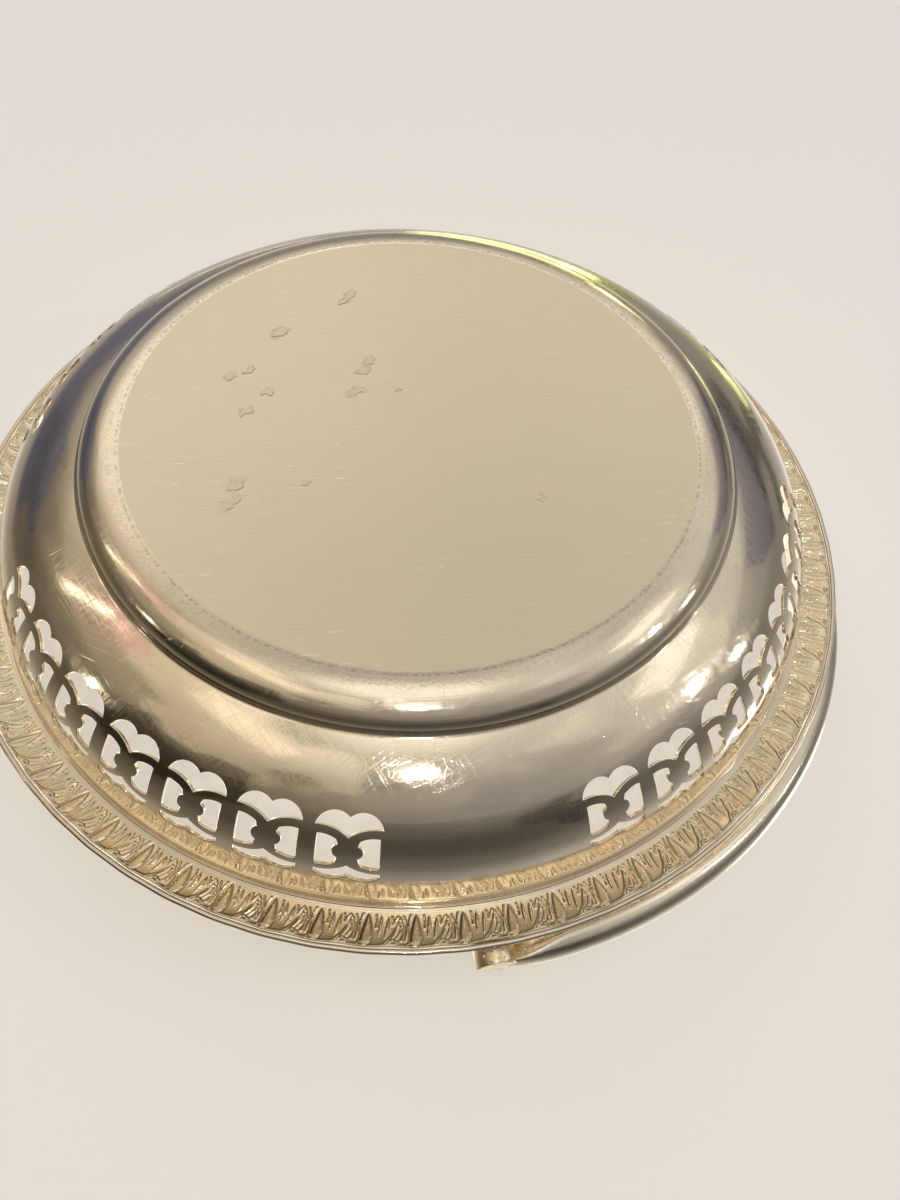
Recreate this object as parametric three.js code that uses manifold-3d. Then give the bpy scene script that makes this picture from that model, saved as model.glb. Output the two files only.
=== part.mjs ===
// Round silver-plated basket with a pierced wall, a die-struck border and a swing handle.
// Millimetres, +Z up. The origin is the middle of the flat base, the hinge axis runs along Y,
// and the handle lies folded over the rim on the +X side.
import * as THREE from 'three';
import { mergeVertices } from 'three/addons/utils/BufferGeometryUtils.js';
import Module from 'manifold-3d';

const wasm = await Module();
wasm.setup();

// Driving dimensions of the dish
const sheetThickness = 1.0;
const baseFlatRadius = 75.2;
const shoulderRun = 12.2;
const footHeight = 6.2;
const grooveWidth = 1.0;
const grooveRise = 1.0;
const bougeRun = 14.1;
const bougeRise = 3.8;
const wallRun = 27.0;
const wallTopHeight = 39.9;
const wallStraight = 20.9;
const lipWidth = 1.6;

// Driving dimensions of the pierced panels
const panelCount = 4;
const unitsPerPanel = 7;
const unitPitchDegrees = 9.6;
const unitCentreAlongWall = 25.2;
const lobeCentreAcross = 3.22;
const lobeRadius = 4.64;
const lobeCentreAbove = 4.36;
const ringCentreAcross = 6.2;
const upperRingRadius = 9.2;
const upperRingCrest = 5.5;
const upperRingBand = 2.25;
const lowerRingRadius = 10.6;
const lowerRingCrest = 6.4;
const lowerRingBand = 1.5;
const upperHoleHalfWidth = 7.74;
const sideHoleOuter = 7.07;
const sideHoleNeck = 2.3;
const sideHoleNotch = 0.45;
const budRadius = 1.8;
const budCentreAcross = 1.75;
const budCentreBelow = 0.6;
const slotHalfWidth = 7.19;
const slotLobeCentreAcross = 3.6;
const slotLobeRadius = 5.33;
const slotLobeCentreBelow = 3.67;

// Driving dimensions of the border and its wire
const jointGap = 0.3;
const mountThickness = 1.2;
const mountLap = 0.5;
const lapThickness = 1.0;
const borderReach = 11.6;
const rimDroop = 2.9;
const mountShoulder = 1.0;
const wireRadius = 0.7;

// Driving dimensions of the hinges
const knuckleRadius = 4.9;
const knuckleLength = 5.4;
const knuckleProud = 3.0;
const knuckleEdge = 0.35;
const hingeClearance = 0.3;
const lugThickness = 2.4;
const lugFootWidth = 14.0;
const pinRadius = 1.6;
const pinHeadRadius = 3.0;
const pinHeadThickness = 1.4;
const pinHeadCrownRadius = 2.2;
const pinDepthInKnuckle = 3.6;

// Driving dimensions of the handle
const barWidth = 8.4;
const barThickness = 6.0;
const barRoundDepth = 4.5;
const barFlatEdge = 0.75;
const barSetOut = 1.0;
const bowExtraReach = 6.0;
const foldedTiltDegrees = 6.3;

// Smoothness of the faceted forms
const gapFacets = 4;
const facetsPerUnit = 2;
const ringSides = 72;
const drumSides = 24;
const pinSides = 16;
const wireFacets = 6;
const bowSteps = 44;
const arcSteps = 3;
const crownFacets = 6;
const shoulderSteps = 3;
const bougeSamples = 400;
const weldGrid = 0.001;
const weldReach = 0.0001;

const degree = Math.PI / 180;
const silver = { color: 0xcfc3a8, metalness: 1.0, roughness: 0.16 };
const wornSilver = { color: 0xbfae8c, metalness: 1.0, roughness: 0.32 };
const handleSilver = { color: 0xc9bb9d, metalness: 1.0, roughness: 0.2 };

// Turns a closed geometry into a solid that can be cut and joined.
function solidOf(geometry) {
  const bare = geometry.clone();
  bare.deleteAttribute('normal');
  bare.deleteAttribute('uv');
  const merged = mergeVertices(bare, weldReach);
  const index = merged.index.array;
  const kept = [];
  for (let i = 0; i < index.length; i += 3) {
    const [a, b, c] = [index[i], index[i + 1], index[i + 2]];
    if (a !== b && b !== c && c !== a) kept.push(a, b, c);
  }
  return new wasm.Manifold(new wasm.Mesh({
    numProp: 3,
    vertProperties: new Float32Array(merged.attributes.position.array),
    triVerts: new Uint32Array(kept),
  }));
}

function geometryOf(solid) {
  const mesh = solid.getMesh();
  const geometry = new THREE.BufferGeometry();
  geometry.setAttribute('position', new THREE.BufferAttribute(new Float32Array(mesh.vertProperties), 3));
  geometry.setIndex(new THREE.BufferAttribute(new Uint32Array(mesh.triVerts), 1));
  geometry.computeVertexNormals();
  return geometry;
}

// Revolves an outline of [radius, height] points about +Z.
function turned(outline, sides) {
  const points = outline.map(([radius, height]) => new THREE.Vector2(radius, height));
  return new THREE.LatheGeometry(points, sides).rotateX(Math.PI / 2);
}

// Revolves a closed outline of [radius, distance] points about the hinge axis, +Y.
function turnedOnHinge(outline, sides) {
  const points = outline.map(([radius, distance]) => new THREE.Vector2(radius, distance));
  return new THREE.LatheGeometry(points, sides).translate(0, 0, hingeHeight);
}

function arcPoints(cx, cy, radius, from, to, steps) {
  return Array.from({ length: steps + 1 }, (_, i) => {
    const a = from + (to - from) * i / steps;
    return [cx + radius * Math.cos(a), cy + radius * Math.sin(a)];
  });
}

// Radii and heights of the dish, counted outwards from the flat of the base
const footRadius = baseFlatRadius + shoulderRun;
const grooveRadius = footRadius + grooveWidth;
const grooveHeight = footHeight + grooveRise;
const wallRadius = grooveRadius + wallRun;

// Underside of the dish from the groove to the top of the wall
const bouge = new THREE.CubicBezierCurve(
  new THREE.Vector2(grooveRadius, grooveHeight),
  new THREE.Vector2(grooveRadius + bougeRun, grooveHeight + bougeRise),
  new THREE.Vector2(wallRadius, wallTopHeight - wallStraight),
  new THREE.Vector2(wallRadius, wallTopHeight),
);

function shoulderOutline() {
  return Array.from({ length: shoulderSteps + 1 }, (_, i) => {
    const a = (i / shoulderSteps) * Math.PI / 2;
    const run = shoulderRun * Math.sin(a);
    return [baseFlatRadius + run, footHeight * (1 - Math.cos(a))];
  });
}

// Where the piercing lies on the wall, measured along the bouge from the groove
const bougeTrack = bouge.getPoints(bougeSamples);
const bougeLengths = bouge.getLengths(bougeSamples);

function wallPoint(distance) {
  let i = 1;
  while (i < bougeSamples && bougeLengths[i] < distance) i += 1;
  const share = (distance - bougeLengths[i - 1]) / (bougeLengths[i] - bougeLengths[i - 1]);
  return bougeTrack[i - 1].clone().lerp(bougeTrack[i], share).toArray();
}

// Moves an open outline sideways by a distance, to the dish's upper and inner side.
function offsetOutline(outline, distance) {
  return outline.map(([r, z], i) => {
    const [pr, pz] = outline[Math.max(i - 1, 0)];
    const [nr, nz] = outline[Math.min(i + 1, outline.length - 1)];
    const length = Math.hypot(nr - pr, nz - pz);
    return [r - distance * (nz - pz) / length, z + distance * (nr - pr) / length];
  });
}

function innerWallPoint(distance) {
  const reach = sheetThickness / 2;
  const around = [distance - reach, distance, distance + reach].map(wallPoint);
  return offsetOutline(around, sheetThickness)[1];
}

// The holes of one unit, as [across, towards the rim] points about the unit's middle.
// Two rings of the chain meet at the middle of a unit, and a bud with two lobes joins them.
const ringUpperCentre = upperRingRadius - upperRingCrest;
const ringLowerCentre = lowerRingCrest - lowerRingRadius;

function ringHeight(centre, radius, across, side) {
  const run = ringCentreAcross - across;
  return centre + side * Math.sqrt(radius * radius - run * run);
}

function mirrored(half) {
  const other = half.slice(0, -1).map(([x, y]) => [-x, y]).reverse();
  return [...half, ...other];
}

function upperHole() {
  const corner = -upperRingCrest;
  const cuspHeight = -lobeCentreAbove - Math.sqrt(lobeRadius ** 2 - lobeCentreAcross ** 2);
  const start = Math.atan2(corner + lobeCentreAbove, lobeCentreAcross - upperHoleHalfWidth);
  const end = Math.atan2(cuspHeight + lobeCentreAbove, lobeCentreAcross);
  const from = start < 0 ? start : start - 2 * Math.PI;
  const lobe = arcPoints(-lobeCentreAcross, -lobeCentreAbove, lobeRadius, from, end, arcSteps + 1);
  const crossings = [0, ringCentreAcross / 3, 2 * ringCentreAcross / 3];
  const ring = crossings.map((x) => [-x, ringHeight(ringUpperCentre, upperRingRadius, x, -1)]);
  const half = [ring[0], ring[1], ring[2], ...lobe];
  return mirrored(half).slice(0, -1);
}

function sideHole() {
  const upper = upperRingRadius - upperRingBand;
  const lower = lowerRingRadius - lowerRingBand;
  const across = [sideHoleOuter, (sideHoleOuter + sideHoleNeck) / 2, sideHoleNeck + sideHoleNotch];
  const top = across.map((x) => [-x, ringHeight(ringUpperCentre, upper, x, -1)]);
  const bottom = across.map((x) => [-x, ringHeight(ringLowerCentre, lower, x, 1)]).reverse();
  const turn = Math.acos((budCentreAcross - sideHoleNeck) / budRadius);
  const bud = arcPoints(-budCentreAcross, budCentreBelow, budRadius, 2 * Math.PI - turn, turn, arcSteps);
  return [...top, ...bud, ...bottom];
}

function slotHole() {
  const ends = [0, ringCentreAcross / 2, slotHalfWidth];
  const top = ends.map((x) => [-x, ringHeight(ringLowerCentre, lowerRingRadius, x, 1)]);
  const lobeEnd = Math.sqrt(slotLobeRadius ** 2 - (slotHalfWidth - slotLobeCentreAcross) ** 2);
  const lobeCusp = Math.sqrt(slotLobeRadius ** 2 - slotLobeCentreAcross ** 2);
  const from = Math.atan2(lobeEnd, slotLobeCentreAcross - slotHalfWidth);
  const to = Math.atan2(lobeCusp, slotLobeCentreAcross);
  const lobe = arcPoints(-slotLobeCentreAcross, slotLobeCentreBelow, slotLobeRadius, from, to, arcSteps);
  return mirrored([...top, ...lobe]).slice(0, -1);
}

// Rows of the wall, by distance along the bouge: below, between and above the piercing's holes
const unitTop = unitCentreAlongWall - lobeCentreAbove - lobeRadius - sheetThickness;
const unitBottom = unitCentreAlongWall + slotLobeCentreBelow + slotLobeRadius + sheetThickness;
const lowerRows = [0, unitTop / 2, unitTop];
const panelRows = [
  unitTop,
  unitCentreAlongWall - upperRingCrest + upperRingBand / 2,
  unitCentreAlongWall,
  unitCentreAlongWall + lowerRingCrest - lowerRingBand / 2,
  unitBottom,
];
const middleRadius = wallPoint(unitCentreAlongWall)[0];
const panelStep = 360 / panelCount * degree;
const unitStep = unitPitchDegrees * degree;
const facetStep = unitStep / facetsPerUnit;
const panelFacets = unitsPerPanel * facetsPerUnit;
const gapStep = (panelStep - unitsPerPanel * unitStep) / gapFacets;

// Angles of the dish's facets over one quarter, from the middle of one plain gap to the next
function quarterAngles() {
  const facets = panelFacets + gapFacets;
  return Array.from({ length: facets + 1 }, (_, i) => {
    const inPanel = Math.min(Math.max(i - gapFacets / 2, 0), panelFacets);
    return inPanel * facetStep + (i - inPanel) * gapStep;
  });
}

// Collects triangles of a skin whose corners are [radius, height] points at an angle.
class Skin {
  constructor() {
    this.corners = [];
  }

  triangle(a, b, c) {
    for (const [[radius, height], angle] of [a, b, c]) {
      const place = [radius * Math.cos(angle), radius * Math.sin(angle), height];
      this.corners.push(...place.map((value) => Math.round(value / weldGrid) * weldGrid));
    }
  }

  quad(a, b, c, d) {
    this.triangle(a, b, c);
    this.triangle(a, c, d);
  }

  // Joins each row to the next between two angles.
  strip(rows, from, to) {
    for (let i = 1; i < rows.length; i += 1) {
      const [p, q] = [rows[i - 1], rows[i]];
      if (p[0] === 0) this.triangle([p, from], [q, to], [q, from]);
      else if (q[0] === 0) this.triangle([p, from], [p, to], [q, from]);
      else this.quad([p, from], [p, to], [q, to], [q, from]);
    }
  }

  geometry() {
    const geometry = new THREE.BufferGeometry();
    geometry.setAttribute('position', new THREE.Float32BufferAttribute(this.corners, 3));
    return geometry;
  }
}

function addUnit(skin, middle) {
  const half = unitStep / 2 * middleRadius;
  const rows = panelRows.map((row) => row - unitCentreAlongWall);
  const across = Array.from({ length: facetsPerUnit + 1 }, (_, i) => (2 * i / facetsPerUnit - 1) * half);
  const contour = [
    ...across.map((x) => [x, rows[0]]),
    ...rows.slice(1, -1).map((y) => [half, y]),
    ...across.map((x) => [-x, rows[rows.length - 1]]),
    ...rows.slice(1, -1).reverse().map((y) => [-half, y]),
  ];
  const left = sideHole();
  const right = left.map(([x, y]) => [-x, y]).reverse();
  const holes = [upperHole(), left, right, slotHole()];
  const flat = [contour, ...holes].map((outline) => outline.map((p) => new THREE.Vector2(...p)));
  const faces = THREE.ShapeUtils.triangulateShape(flat[0], flat.slice(1));
  const places = [contour, ...holes].flat();
  const under = places.map(([x, y]) => [wallPoint(unitCentreAlongWall + y), middle + x / middleRadius]);
  const inner = places.map(([x, y]) => [innerWallPoint(unitCentreAlongWall + y), middle + x / middleRadius]);
  for (const [a, b, c] of faces) {
    skin.triangle(under[a], under[b], under[c]);
    skin.triangle(inner[a], inner[c], inner[b]);
  }
  let first = contour.length;
  for (const hole of holes) {
    const clockwise = THREE.ShapeUtils.isClockWise(hole.map((p) => new THREE.Vector2(...p)));
    for (let i = 0; i < hole.length; i += 1) {
      const [a, b] = [first + i, first + (i + 1) % hole.length];
      if (clockwise) skin.quad(under[b], under[a], inner[a], inner[b]);
      else skin.quad(under[a], under[b], inner[b], inner[a]);
    }
    first += hole.length;
  }
}

function piercedDish() {
  const shoulder = shoulderOutline();
  const lower = [...shoulder, ...lowerRows.map(wallPoint)];
  const insideLower = [
    ...offsetOutline([...shoulder, wallPoint(0)], sheetThickness).slice(0, -1),
    ...lowerRows.map(innerWallPoint),
  ];
  const plainUnder = [[0, 0], ...lower];
  const lip = [
    wallPoint(unitBottom),
    [wallRadius, wallTopHeight],
    [wallRadius + lipWidth, wallTopHeight],
    [wallRadius + lipWidth, wallTopHeight + sheetThickness],
    [wallRadius - sheetThickness, wallTopHeight + sheetThickness],
    innerWallPoint(unitBottom),
  ];
  const plainInner = [...insideLower.reverse(), [0, sheetThickness]];
  const skin = new Skin();
  const angles = quarterAngles();
  for (let quarter = 0; quarter < panelCount; quarter += 1) {
    const start = quarter * panelStep - Math.PI / 2;
    for (let i = 1; i < angles.length; i += 1) {
      const [from, to] = [start + angles[i - 1], start + angles[i]];
      for (const rows of [plainUnder, lip, plainInner]) skin.strip(rows, from, to);
      const inGap = i <= gapFacets / 2 || i > gapFacets / 2 + panelFacets;
      if (inGap) {
        skin.strip(panelRows.map(wallPoint), from, to);
        skin.strip(panelRows.map(innerWallPoint), to, from);
      }
    }
    for (let unit = 0; unit < unitsPerPanel; unit += 1) {
      addUnit(skin, start + panelStep / 2 + (unit - (unitsPerPanel - 1) / 2) * unitStep);
    }
  }
  return geometryOf(solidOf(skin.geometry()));
}

// The border: a lap over the dish's lip, then the drooping band that carries the relief
const rimRadius = wallRadius + borderReach;
const mountInnerRadius = wallRadius - mountLap;
const mountStepRadius = wallRadius + lipWidth + jointGap;
const mountOuterRadius = rimRadius - 2 * wireRadius - jointGap;
const lapHeight = wallTopHeight + sheetThickness + jointGap;
const rimEdgeHeight = wallTopHeight - rimDroop;
const rimTopHeight = rimEdgeHeight + mountThickness;

function borderOutline(swell) {
  return [
    [mountInnerRadius - swell, lapHeight],
    [mountStepRadius, lapHeight],
    [mountStepRadius, wallTopHeight],
    [mountOuterRadius + swell, rimEdgeHeight],
    [mountOuterRadius + swell, rimTopHeight + swell],
    [mountStepRadius + mountShoulder, wallTopHeight + mountThickness + swell],
    [mountStepRadius, lapHeight + lapThickness + swell],
    [mountInnerRadius - swell, lapHeight + lapThickness + swell],
    [mountInnerRadius - swell, lapHeight],
  ];
}

function edgeWire() {
  const centre = rimRadius - wireRadius;
  const height = rimEdgeHeight + wireRadius;
  const facets = Array.from({ length: wireFacets + 1 }, (_, i) => {
    const a = (i + 0.5) / wireFacets * 2 * Math.PI;
    return [centre + wireRadius * Math.cos(a), height + wireRadius * Math.sin(a)];
  });
  return turned(facets, ringSides);
}

// Places on the hinge axis, as distances from the middle of the basket
const knuckleOuter = rimRadius + knuckleProud;
const knuckleInner = knuckleOuter - knuckleLength;
const lugOuter = knuckleInner - hingeClearance;
const lugInner = lugOuter - lugThickness;
const pinHeadOuter = lugInner - hingeClearance;
const pinTip = knuckleInner + pinDepthInKnuckle;
const boreRadius = pinRadius + hingeClearance;

// Height of the border's upper side at a radius of its drooping band
function borderTopAt(radius) {
  const run = mountOuterRadius - mountStepRadius - mountShoulder;
  const share = (radius - mountStepRadius - mountShoulder) / run;
  return wallTopHeight + mountThickness + share * (rimTopHeight - wallTopHeight - mountThickness);
}

const hingeHeight = borderTopAt(knuckleInner) + hingeClearance + knuckleRadius;

function knuckle() {
  const blind = pinTip + hingeClearance;
  return turnedOnHinge([
    [boreRadius, knuckleInner],
    [knuckleRadius, knuckleInner],
    [knuckleRadius, knuckleOuter - knuckleEdge],
    [knuckleRadius - knuckleEdge, knuckleOuter],
    [0, knuckleOuter],
    [0, blind],
    [boreRadius, blind],
    [boreRadius, knuckleInner],
  ], drumSides);
}

function pin() {
  return turnedOnHinge([
    [0, pinHeadOuter - pinHeadThickness],
    [pinHeadCrownRadius, pinHeadOuter - pinHeadThickness],
    [pinHeadRadius, pinHeadOuter - pinHeadThickness / 2],
    [pinHeadRadius, pinHeadOuter],
    [pinRadius, pinHeadOuter],
    [pinRadius, pinTip],
    [0, pinTip],
  ], pinSides);
}

function lug() {
  const ear = solidOf(turnedOnHinge([
    [0, lugInner],
    [knuckleRadius, lugInner],
    [knuckleRadius, lugOuter],
    [0, lugOuter],
  ], drumSides));
  const bore = solidOf(turnedOnHinge([
    [0, lugInner - lugThickness],
    [boreRadius, lugInner - lugThickness],
    [boreRadius, lugOuter + lugThickness],
    [0, lugOuter + lugThickness],
  ], pinSides));
  const foot = new THREE.Shape([
    new THREE.Vector2(-lugFootWidth / 2, rimEdgeHeight),
    new THREE.Vector2(lugFootWidth / 2, rimEdgeHeight),
    new THREE.Vector2(lugFootWidth / 2, borderTopAt(lugInner) + lugThickness / 2),
    new THREE.Vector2(knuckleRadius, hingeHeight),
    new THREE.Vector2(-knuckleRadius, hingeHeight),
    new THREE.Vector2(-lugFootWidth / 2, borderTopAt(lugInner) + lugThickness / 2),
  ]);
  const post = new THREE.ExtrudeGeometry(foot, { depth: lugThickness, bevelEnabled: false });
  post.rotateX(Math.PI / 2).translate(0, lugOuter, 0);
  const seat = solidOf(turned(seatOutline(), ringSides));
  return geometryOf(ear.add(solidOf(post)).subtract(bore).subtract(seat));
}

// The border with the joint's gap round its upper side, filled down to clear a foot that stands on it
function seatOutline() {
  const top = borderOutline(jointGap).slice(4, 7);
  const below = rimEdgeHeight - mountThickness;
  const outermost = rimRadius + lugFootWidth;
  return [
    [mountInnerRadius, below],
    [outermost, below],
    [outermost, top[0][1]],
    ...top,
    [mountInnerRadius, top[2][1]],
    [mountInnerRadius, below],
  ];
}

// The bar's centre line: half an ellipse from hinge to hinge, in the plane of the hinge axis
const bowHalfWidth = knuckleOuter + barSetOut - barThickness / 2;
const bowReach = bowHalfWidth + bowExtraReach;

class BowCurve extends THREE.Curve {
  getPoint(share, target = new THREE.Vector3()) {
    const a = (share - 0.5) * Math.PI;
    return target.set(bowReach * Math.cos(a), bowHalfWidth * Math.sin(a), 0);
  }
}

// Section of the bar: flat towards the bowl, round away from it
function barSection() {
  const half = barWidth / 2;
  const flat = barThickness / 2;
  const crown = Array.from({ length: crownFacets + 1 }, (_, i) => {
    const a = i / crownFacets * Math.PI;
    return new THREE.Vector2(half * Math.cos(a), barRoundDepth - flat - barRoundDepth * Math.sin(a));
  });
  return new THREE.Shape([
    ...crown,
    new THREE.Vector2(-half + barFlatEdge, flat),
    new THREE.Vector2(half - barFlatEdge, flat),
  ]);
}

function bow() {
  const extrudePath = new BowCurve();
  const bar = new THREE.ExtrudeGeometry(barSection(), { steps: bowSteps, extrudePath, bevelEnabled: false });
  bar.translate(0, 0, hingeHeight);
  const reach = knuckleOuter + barThickness;
  const eye = solidOf(turnedOnHinge([
    [0, -reach],
    [knuckleRadius + jointGap, -reach],
    [knuckleRadius + jointGap, reach],
    [0, reach],
  ], drumSides));
  return geometryOf(solidOf(bar).subtract(eye));
}

const basket = new THREE.Group();

function addPiece(name, geometry, look, parent) {
  const mesh = new THREE.Mesh(geometry, new THREE.MeshStandardMaterial(look));
  mesh.name = name;
  parent.add(mesh);
  return mesh;
}

addPiece('dish', piercedDish(), silver, basket);
addPiece('rim_border', turned(borderOutline(0), ringSides), wornSilver, basket);
addPiece('edge_wire', edgeWire(), wornSilver, basket);

// The handle turns about the hinge axis, so its group is tilted about that axis.
const handle = new THREE.Group();
handle.position.set(0, 0, hingeHeight);
handle.rotation.y = -foldedTiltDegrees * degree;
const handleParts = new THREE.Group();
handleParts.position.set(0, 0, -hingeHeight);
handle.add(handleParts);
basket.add(handle);

addPiece('handle_bow', bow(), handleSilver, handleParts);
for (const [side, turn] of [['front', Math.PI], ['back', 0]]) {
  addPiece(`hinge_lug_${side}`, lug(), wornSilver, basket).rotation.z = turn;
  addPiece(`hinge_pin_${side}`, pin(), silver, handleParts).rotation.z = turn;
  addPiece(`handle_knuckle_${side}`, knuckle(), handleSilver, handleParts).rotation.z = turn;
}

export default basket;
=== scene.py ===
"""A round silver-plated basket with a pierced wall, a relief border and a swing handle.

The basket stands on its base in the model's own frame, sizes of its pieces are in millimetres,
those of the studio are in metres, and the camera looks up at it from below, as the photograph does.
"""

import math

import bpy
import numpy as np
from mathutils import Matrix, Vector, geometry


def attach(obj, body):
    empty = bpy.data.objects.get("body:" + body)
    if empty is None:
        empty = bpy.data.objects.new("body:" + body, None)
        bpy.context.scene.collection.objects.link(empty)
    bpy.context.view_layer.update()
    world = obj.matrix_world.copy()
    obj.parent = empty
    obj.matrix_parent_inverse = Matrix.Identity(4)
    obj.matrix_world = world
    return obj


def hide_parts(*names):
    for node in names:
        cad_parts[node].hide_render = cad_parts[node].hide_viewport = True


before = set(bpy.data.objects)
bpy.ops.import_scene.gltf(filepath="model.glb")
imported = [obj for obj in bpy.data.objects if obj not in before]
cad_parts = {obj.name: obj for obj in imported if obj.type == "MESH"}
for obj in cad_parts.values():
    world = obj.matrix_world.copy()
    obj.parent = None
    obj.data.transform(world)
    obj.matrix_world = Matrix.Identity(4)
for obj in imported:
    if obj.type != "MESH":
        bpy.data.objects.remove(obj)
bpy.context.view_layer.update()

MM = 0.001

# The camera: a close wide view from below and behind, as when the basket lies upside down on a
# table and is looked down on. The first three rows are the view's right, up and back directions.
view_right = (0.9826, 0.1768, -0.0571)
view_up = (0.1175, -0.8297, -0.5457)
view_back = (-0.1439, 0.5295, -0.8360)
view_place = (-0.03038, 0.16742, -0.17411)
FRAME_SIDE, LENS = 36, 27

camera_data = bpy.data.cameras.new("camera")
camera_data.sensor_fit = "VERTICAL"
camera_data.sensor_width = FRAME_SIDE
camera_data.sensor_height = FRAME_SIDE
camera_data.lens = LENS
camera_data.clip_start = 0.01
camera = bpy.data.objects.new("camera", camera_data)
turn = Matrix((view_right, view_up, view_back)).transposed()
camera.matrix_world = Matrix.Translation(view_place) @ turn.to_4x4()
bpy.context.collection.objects.link(camera)
bpy.context.scene.camera = camera
bpy.context.scene.view_settings.view_transform = "Standard"

# The studio: a pale table under the basket's base, and the same pale sheet beyond its rim
# for the views from below. Each shows only the side that faces the basket.
TABLE_PALE = (0.80, 0.79, 0.77, 1.0)
TABLE_GLOW, SHEET_GLOW = 0.10, 0.36
SHEET_HALF = 3.0
TABLE_HEIGHT, SHEET_HEIGHT = -0.0003, 0.0632


def add_node(tree, kind, sockets, **settings):
    """Adds a node with its settings, and puts a number or a link on each socket that is named."""
    node = tree.nodes.new("ShaderNode" + kind)
    for setting, value in settings.items():
        setattr(node, setting, value)
    for socket, value in sockets.items():
        if isinstance(value, bpy.types.NodeSocket):
            tree.links.new(value, node.inputs[socket])
        else:
            node.inputs[socket].default_value = value
    return node


def reckon(how, first, *others):
    """Adds, multiplies or compares sockets and numbers, one after another."""
    for other in others or (0.0,):
        tree = (first if isinstance(first, bpy.types.NodeSocket) else other).id_data
        first = add_node(tree, "Math", {0: first, 1: other}, operation=how).outputs[0]
    return first


def times(*parts):
    return reckon("MULTIPLY", *parts)


def pale_sheet(name, height, faces_up, glow_share):
    h = SHEET_HALF
    corners = [(-h, -h, height), (h, -h, height), (h, h, height), (-h, h, height)]
    mesh = bpy.data.meshes.new(name)
    mesh.from_pydata(corners, [], [(0, 1, 2, 3) if faces_up else (3, 2, 1, 0)])
    sheet = bpy.data.objects.new(name, mesh)
    bpy.context.collection.objects.link(sheet)
    paper = bpy.data.materials.new(name + "_paper")
    paper.use_nodes = True
    tree = paper.node_tree
    tree.nodes.clear()
    matt = add_node(tree, "BsdfDiffuse", {"Color": TABLE_PALE})
    seen = add_node(tree, "LightPath", {}).outputs["Is Camera Ray"]
    glow = add_node(tree, "Emission", {"Color": TABLE_PALE, "Strength": times(seen, glow_share)})
    lit = add_node(tree, "AddShader", {0: matt.outputs[0], 1: glow.outputs[0]})
    clear = add_node(tree, "BsdfTransparent", {})
    far_side = add_node(tree, "NewGeometry", {}).outputs["Backfacing"]
    one_sided = add_node(tree, "MixShader", {0: far_side, 1: lit.outputs[0], 2: clear.outputs[0]})
    add_node(tree, "OutputMaterial", {"Surface": one_sided.outputs[0]})
    mesh.materials.append(paper)
    sheet.visible_glossy = False
    sheet.visible_diffuse = False
    sheet.visible_transmission = False
    sheet.visible_shadow = False


pale_sheet("table_top", TABLE_HEIGHT, True, TABLE_GLOW)
pale_sheet("back_sheet", SHEET_HEIGHT, False, SHEET_GLOW)

# The room that the silver reflects: soft, darkest just above the horizon and brighter on one
# side, with pale cards and dark cloths whose edges are creased. The camera sees it plain and pale.
ROOM_STEPS = [(0.0, 0.95), (0.02, 0.50), (0.08, 0.36), (0.15, 0.38), (0.226, 0.37), (0.242, 0.245),
              (0.32, 0.20), (0.40, 0.13), (0.5, 0.14), (0.62, 0.24), (0.8, 0.55), (1.0, 0.9)]
ROOM_PALE, ROOM_WARM = (1.0, 0.955, 0.89), (1.0, 0.86, 0.64)
BRIGHT_SIDE, WARM_SIDE = (0.5, -0.866, 0.0), (-0.95, 0.1, -0.3)
SIDE_FROM, SIDE_TO, DIM_SIDE, FULL_SIDE = -0.75, 1.0, 0.60, 2.1
WARM_FROM, WARM_TO = 0.1, 0.95
CREASE_SCALE, CREASE_DETAIL, CREASE_REACH = 2.6, 1.5, 0.34
SEEN_ROOM, SEEN_STRENGTH = (0.80, 0.775, 0.73, 1.0), 0.92
# Each card or cloth: its azimuth and elevation, where its soft edge starts and ends, both in
# degrees, and how many times brighter it is than the room there.
CARDS = [((160, -57), (18, 21), 1.75), ((158, -25), (19, 21), 0.32), ((8, -44), (19, 22), 1.32),
         ((100, -72), (28, 31), 1.12), ((-108, -40), (8, 30), 1.44), ((-60, -36), (8, 12), 1.5),
         ((-72, -62), (6, 26), 0.66), ((84, -44), (13, 17), 1.2), ((-22, -30), (12, 14), 0.62),
         ((60, -22), (9, 11), 0.55), ((-140, -14), (11, 13), 0.75), ((-168, -28), (8, 9), 1.5),
         ((-38, -2), (6, 7), 0.45), ((-60, 5), (4.6, 5.2), 5.0), ((-51, 1), (4.2, 4.8), 5.0)]
# Places and edges as above, and the faint colour that the room has there
TINTS = [((-126, -8), (11, 14), (0.60, 0.62, 0.86)), ((-166, -30), (8, 11), (1.0, 0.66, 0.58)),
         ((-22, -30), (12, 14), (0.88, 0.84, 1.0)), ((-56, 5), (13, 14), (0.97, 1.0, 0.52))]


def aim(azimuth, elevation):
    a, e = math.radians(azimuth), math.radians(elevation)
    return Vector((math.cos(e) * math.cos(a), math.cos(e) * math.sin(a), math.sin(e)))


def vector_sum(how, *parts):
    """Reckons with places and directions. A length, a distance or a lean comes out as a number."""
    node = add_node(parts[0].id_data, "VectorMath", dict(enumerate(parts)), operation=how)
    return node.outputs["Value" if how in ("DOT_PRODUCT", "LENGTH", "DISTANCE") else "Vector"]


def ramp(value, start, end, low=0.0, high=1.0, kind="LINEAR"):
    """A number that goes from low to high while the value goes from start to end."""
    sockets = {"Value": value, "From Min": start, "From Max": end, "To Min": low, "To Max": high}
    return add_node(value.id_data, "MapRange", sockets, interpolation_type=kind).outputs[0]


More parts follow.
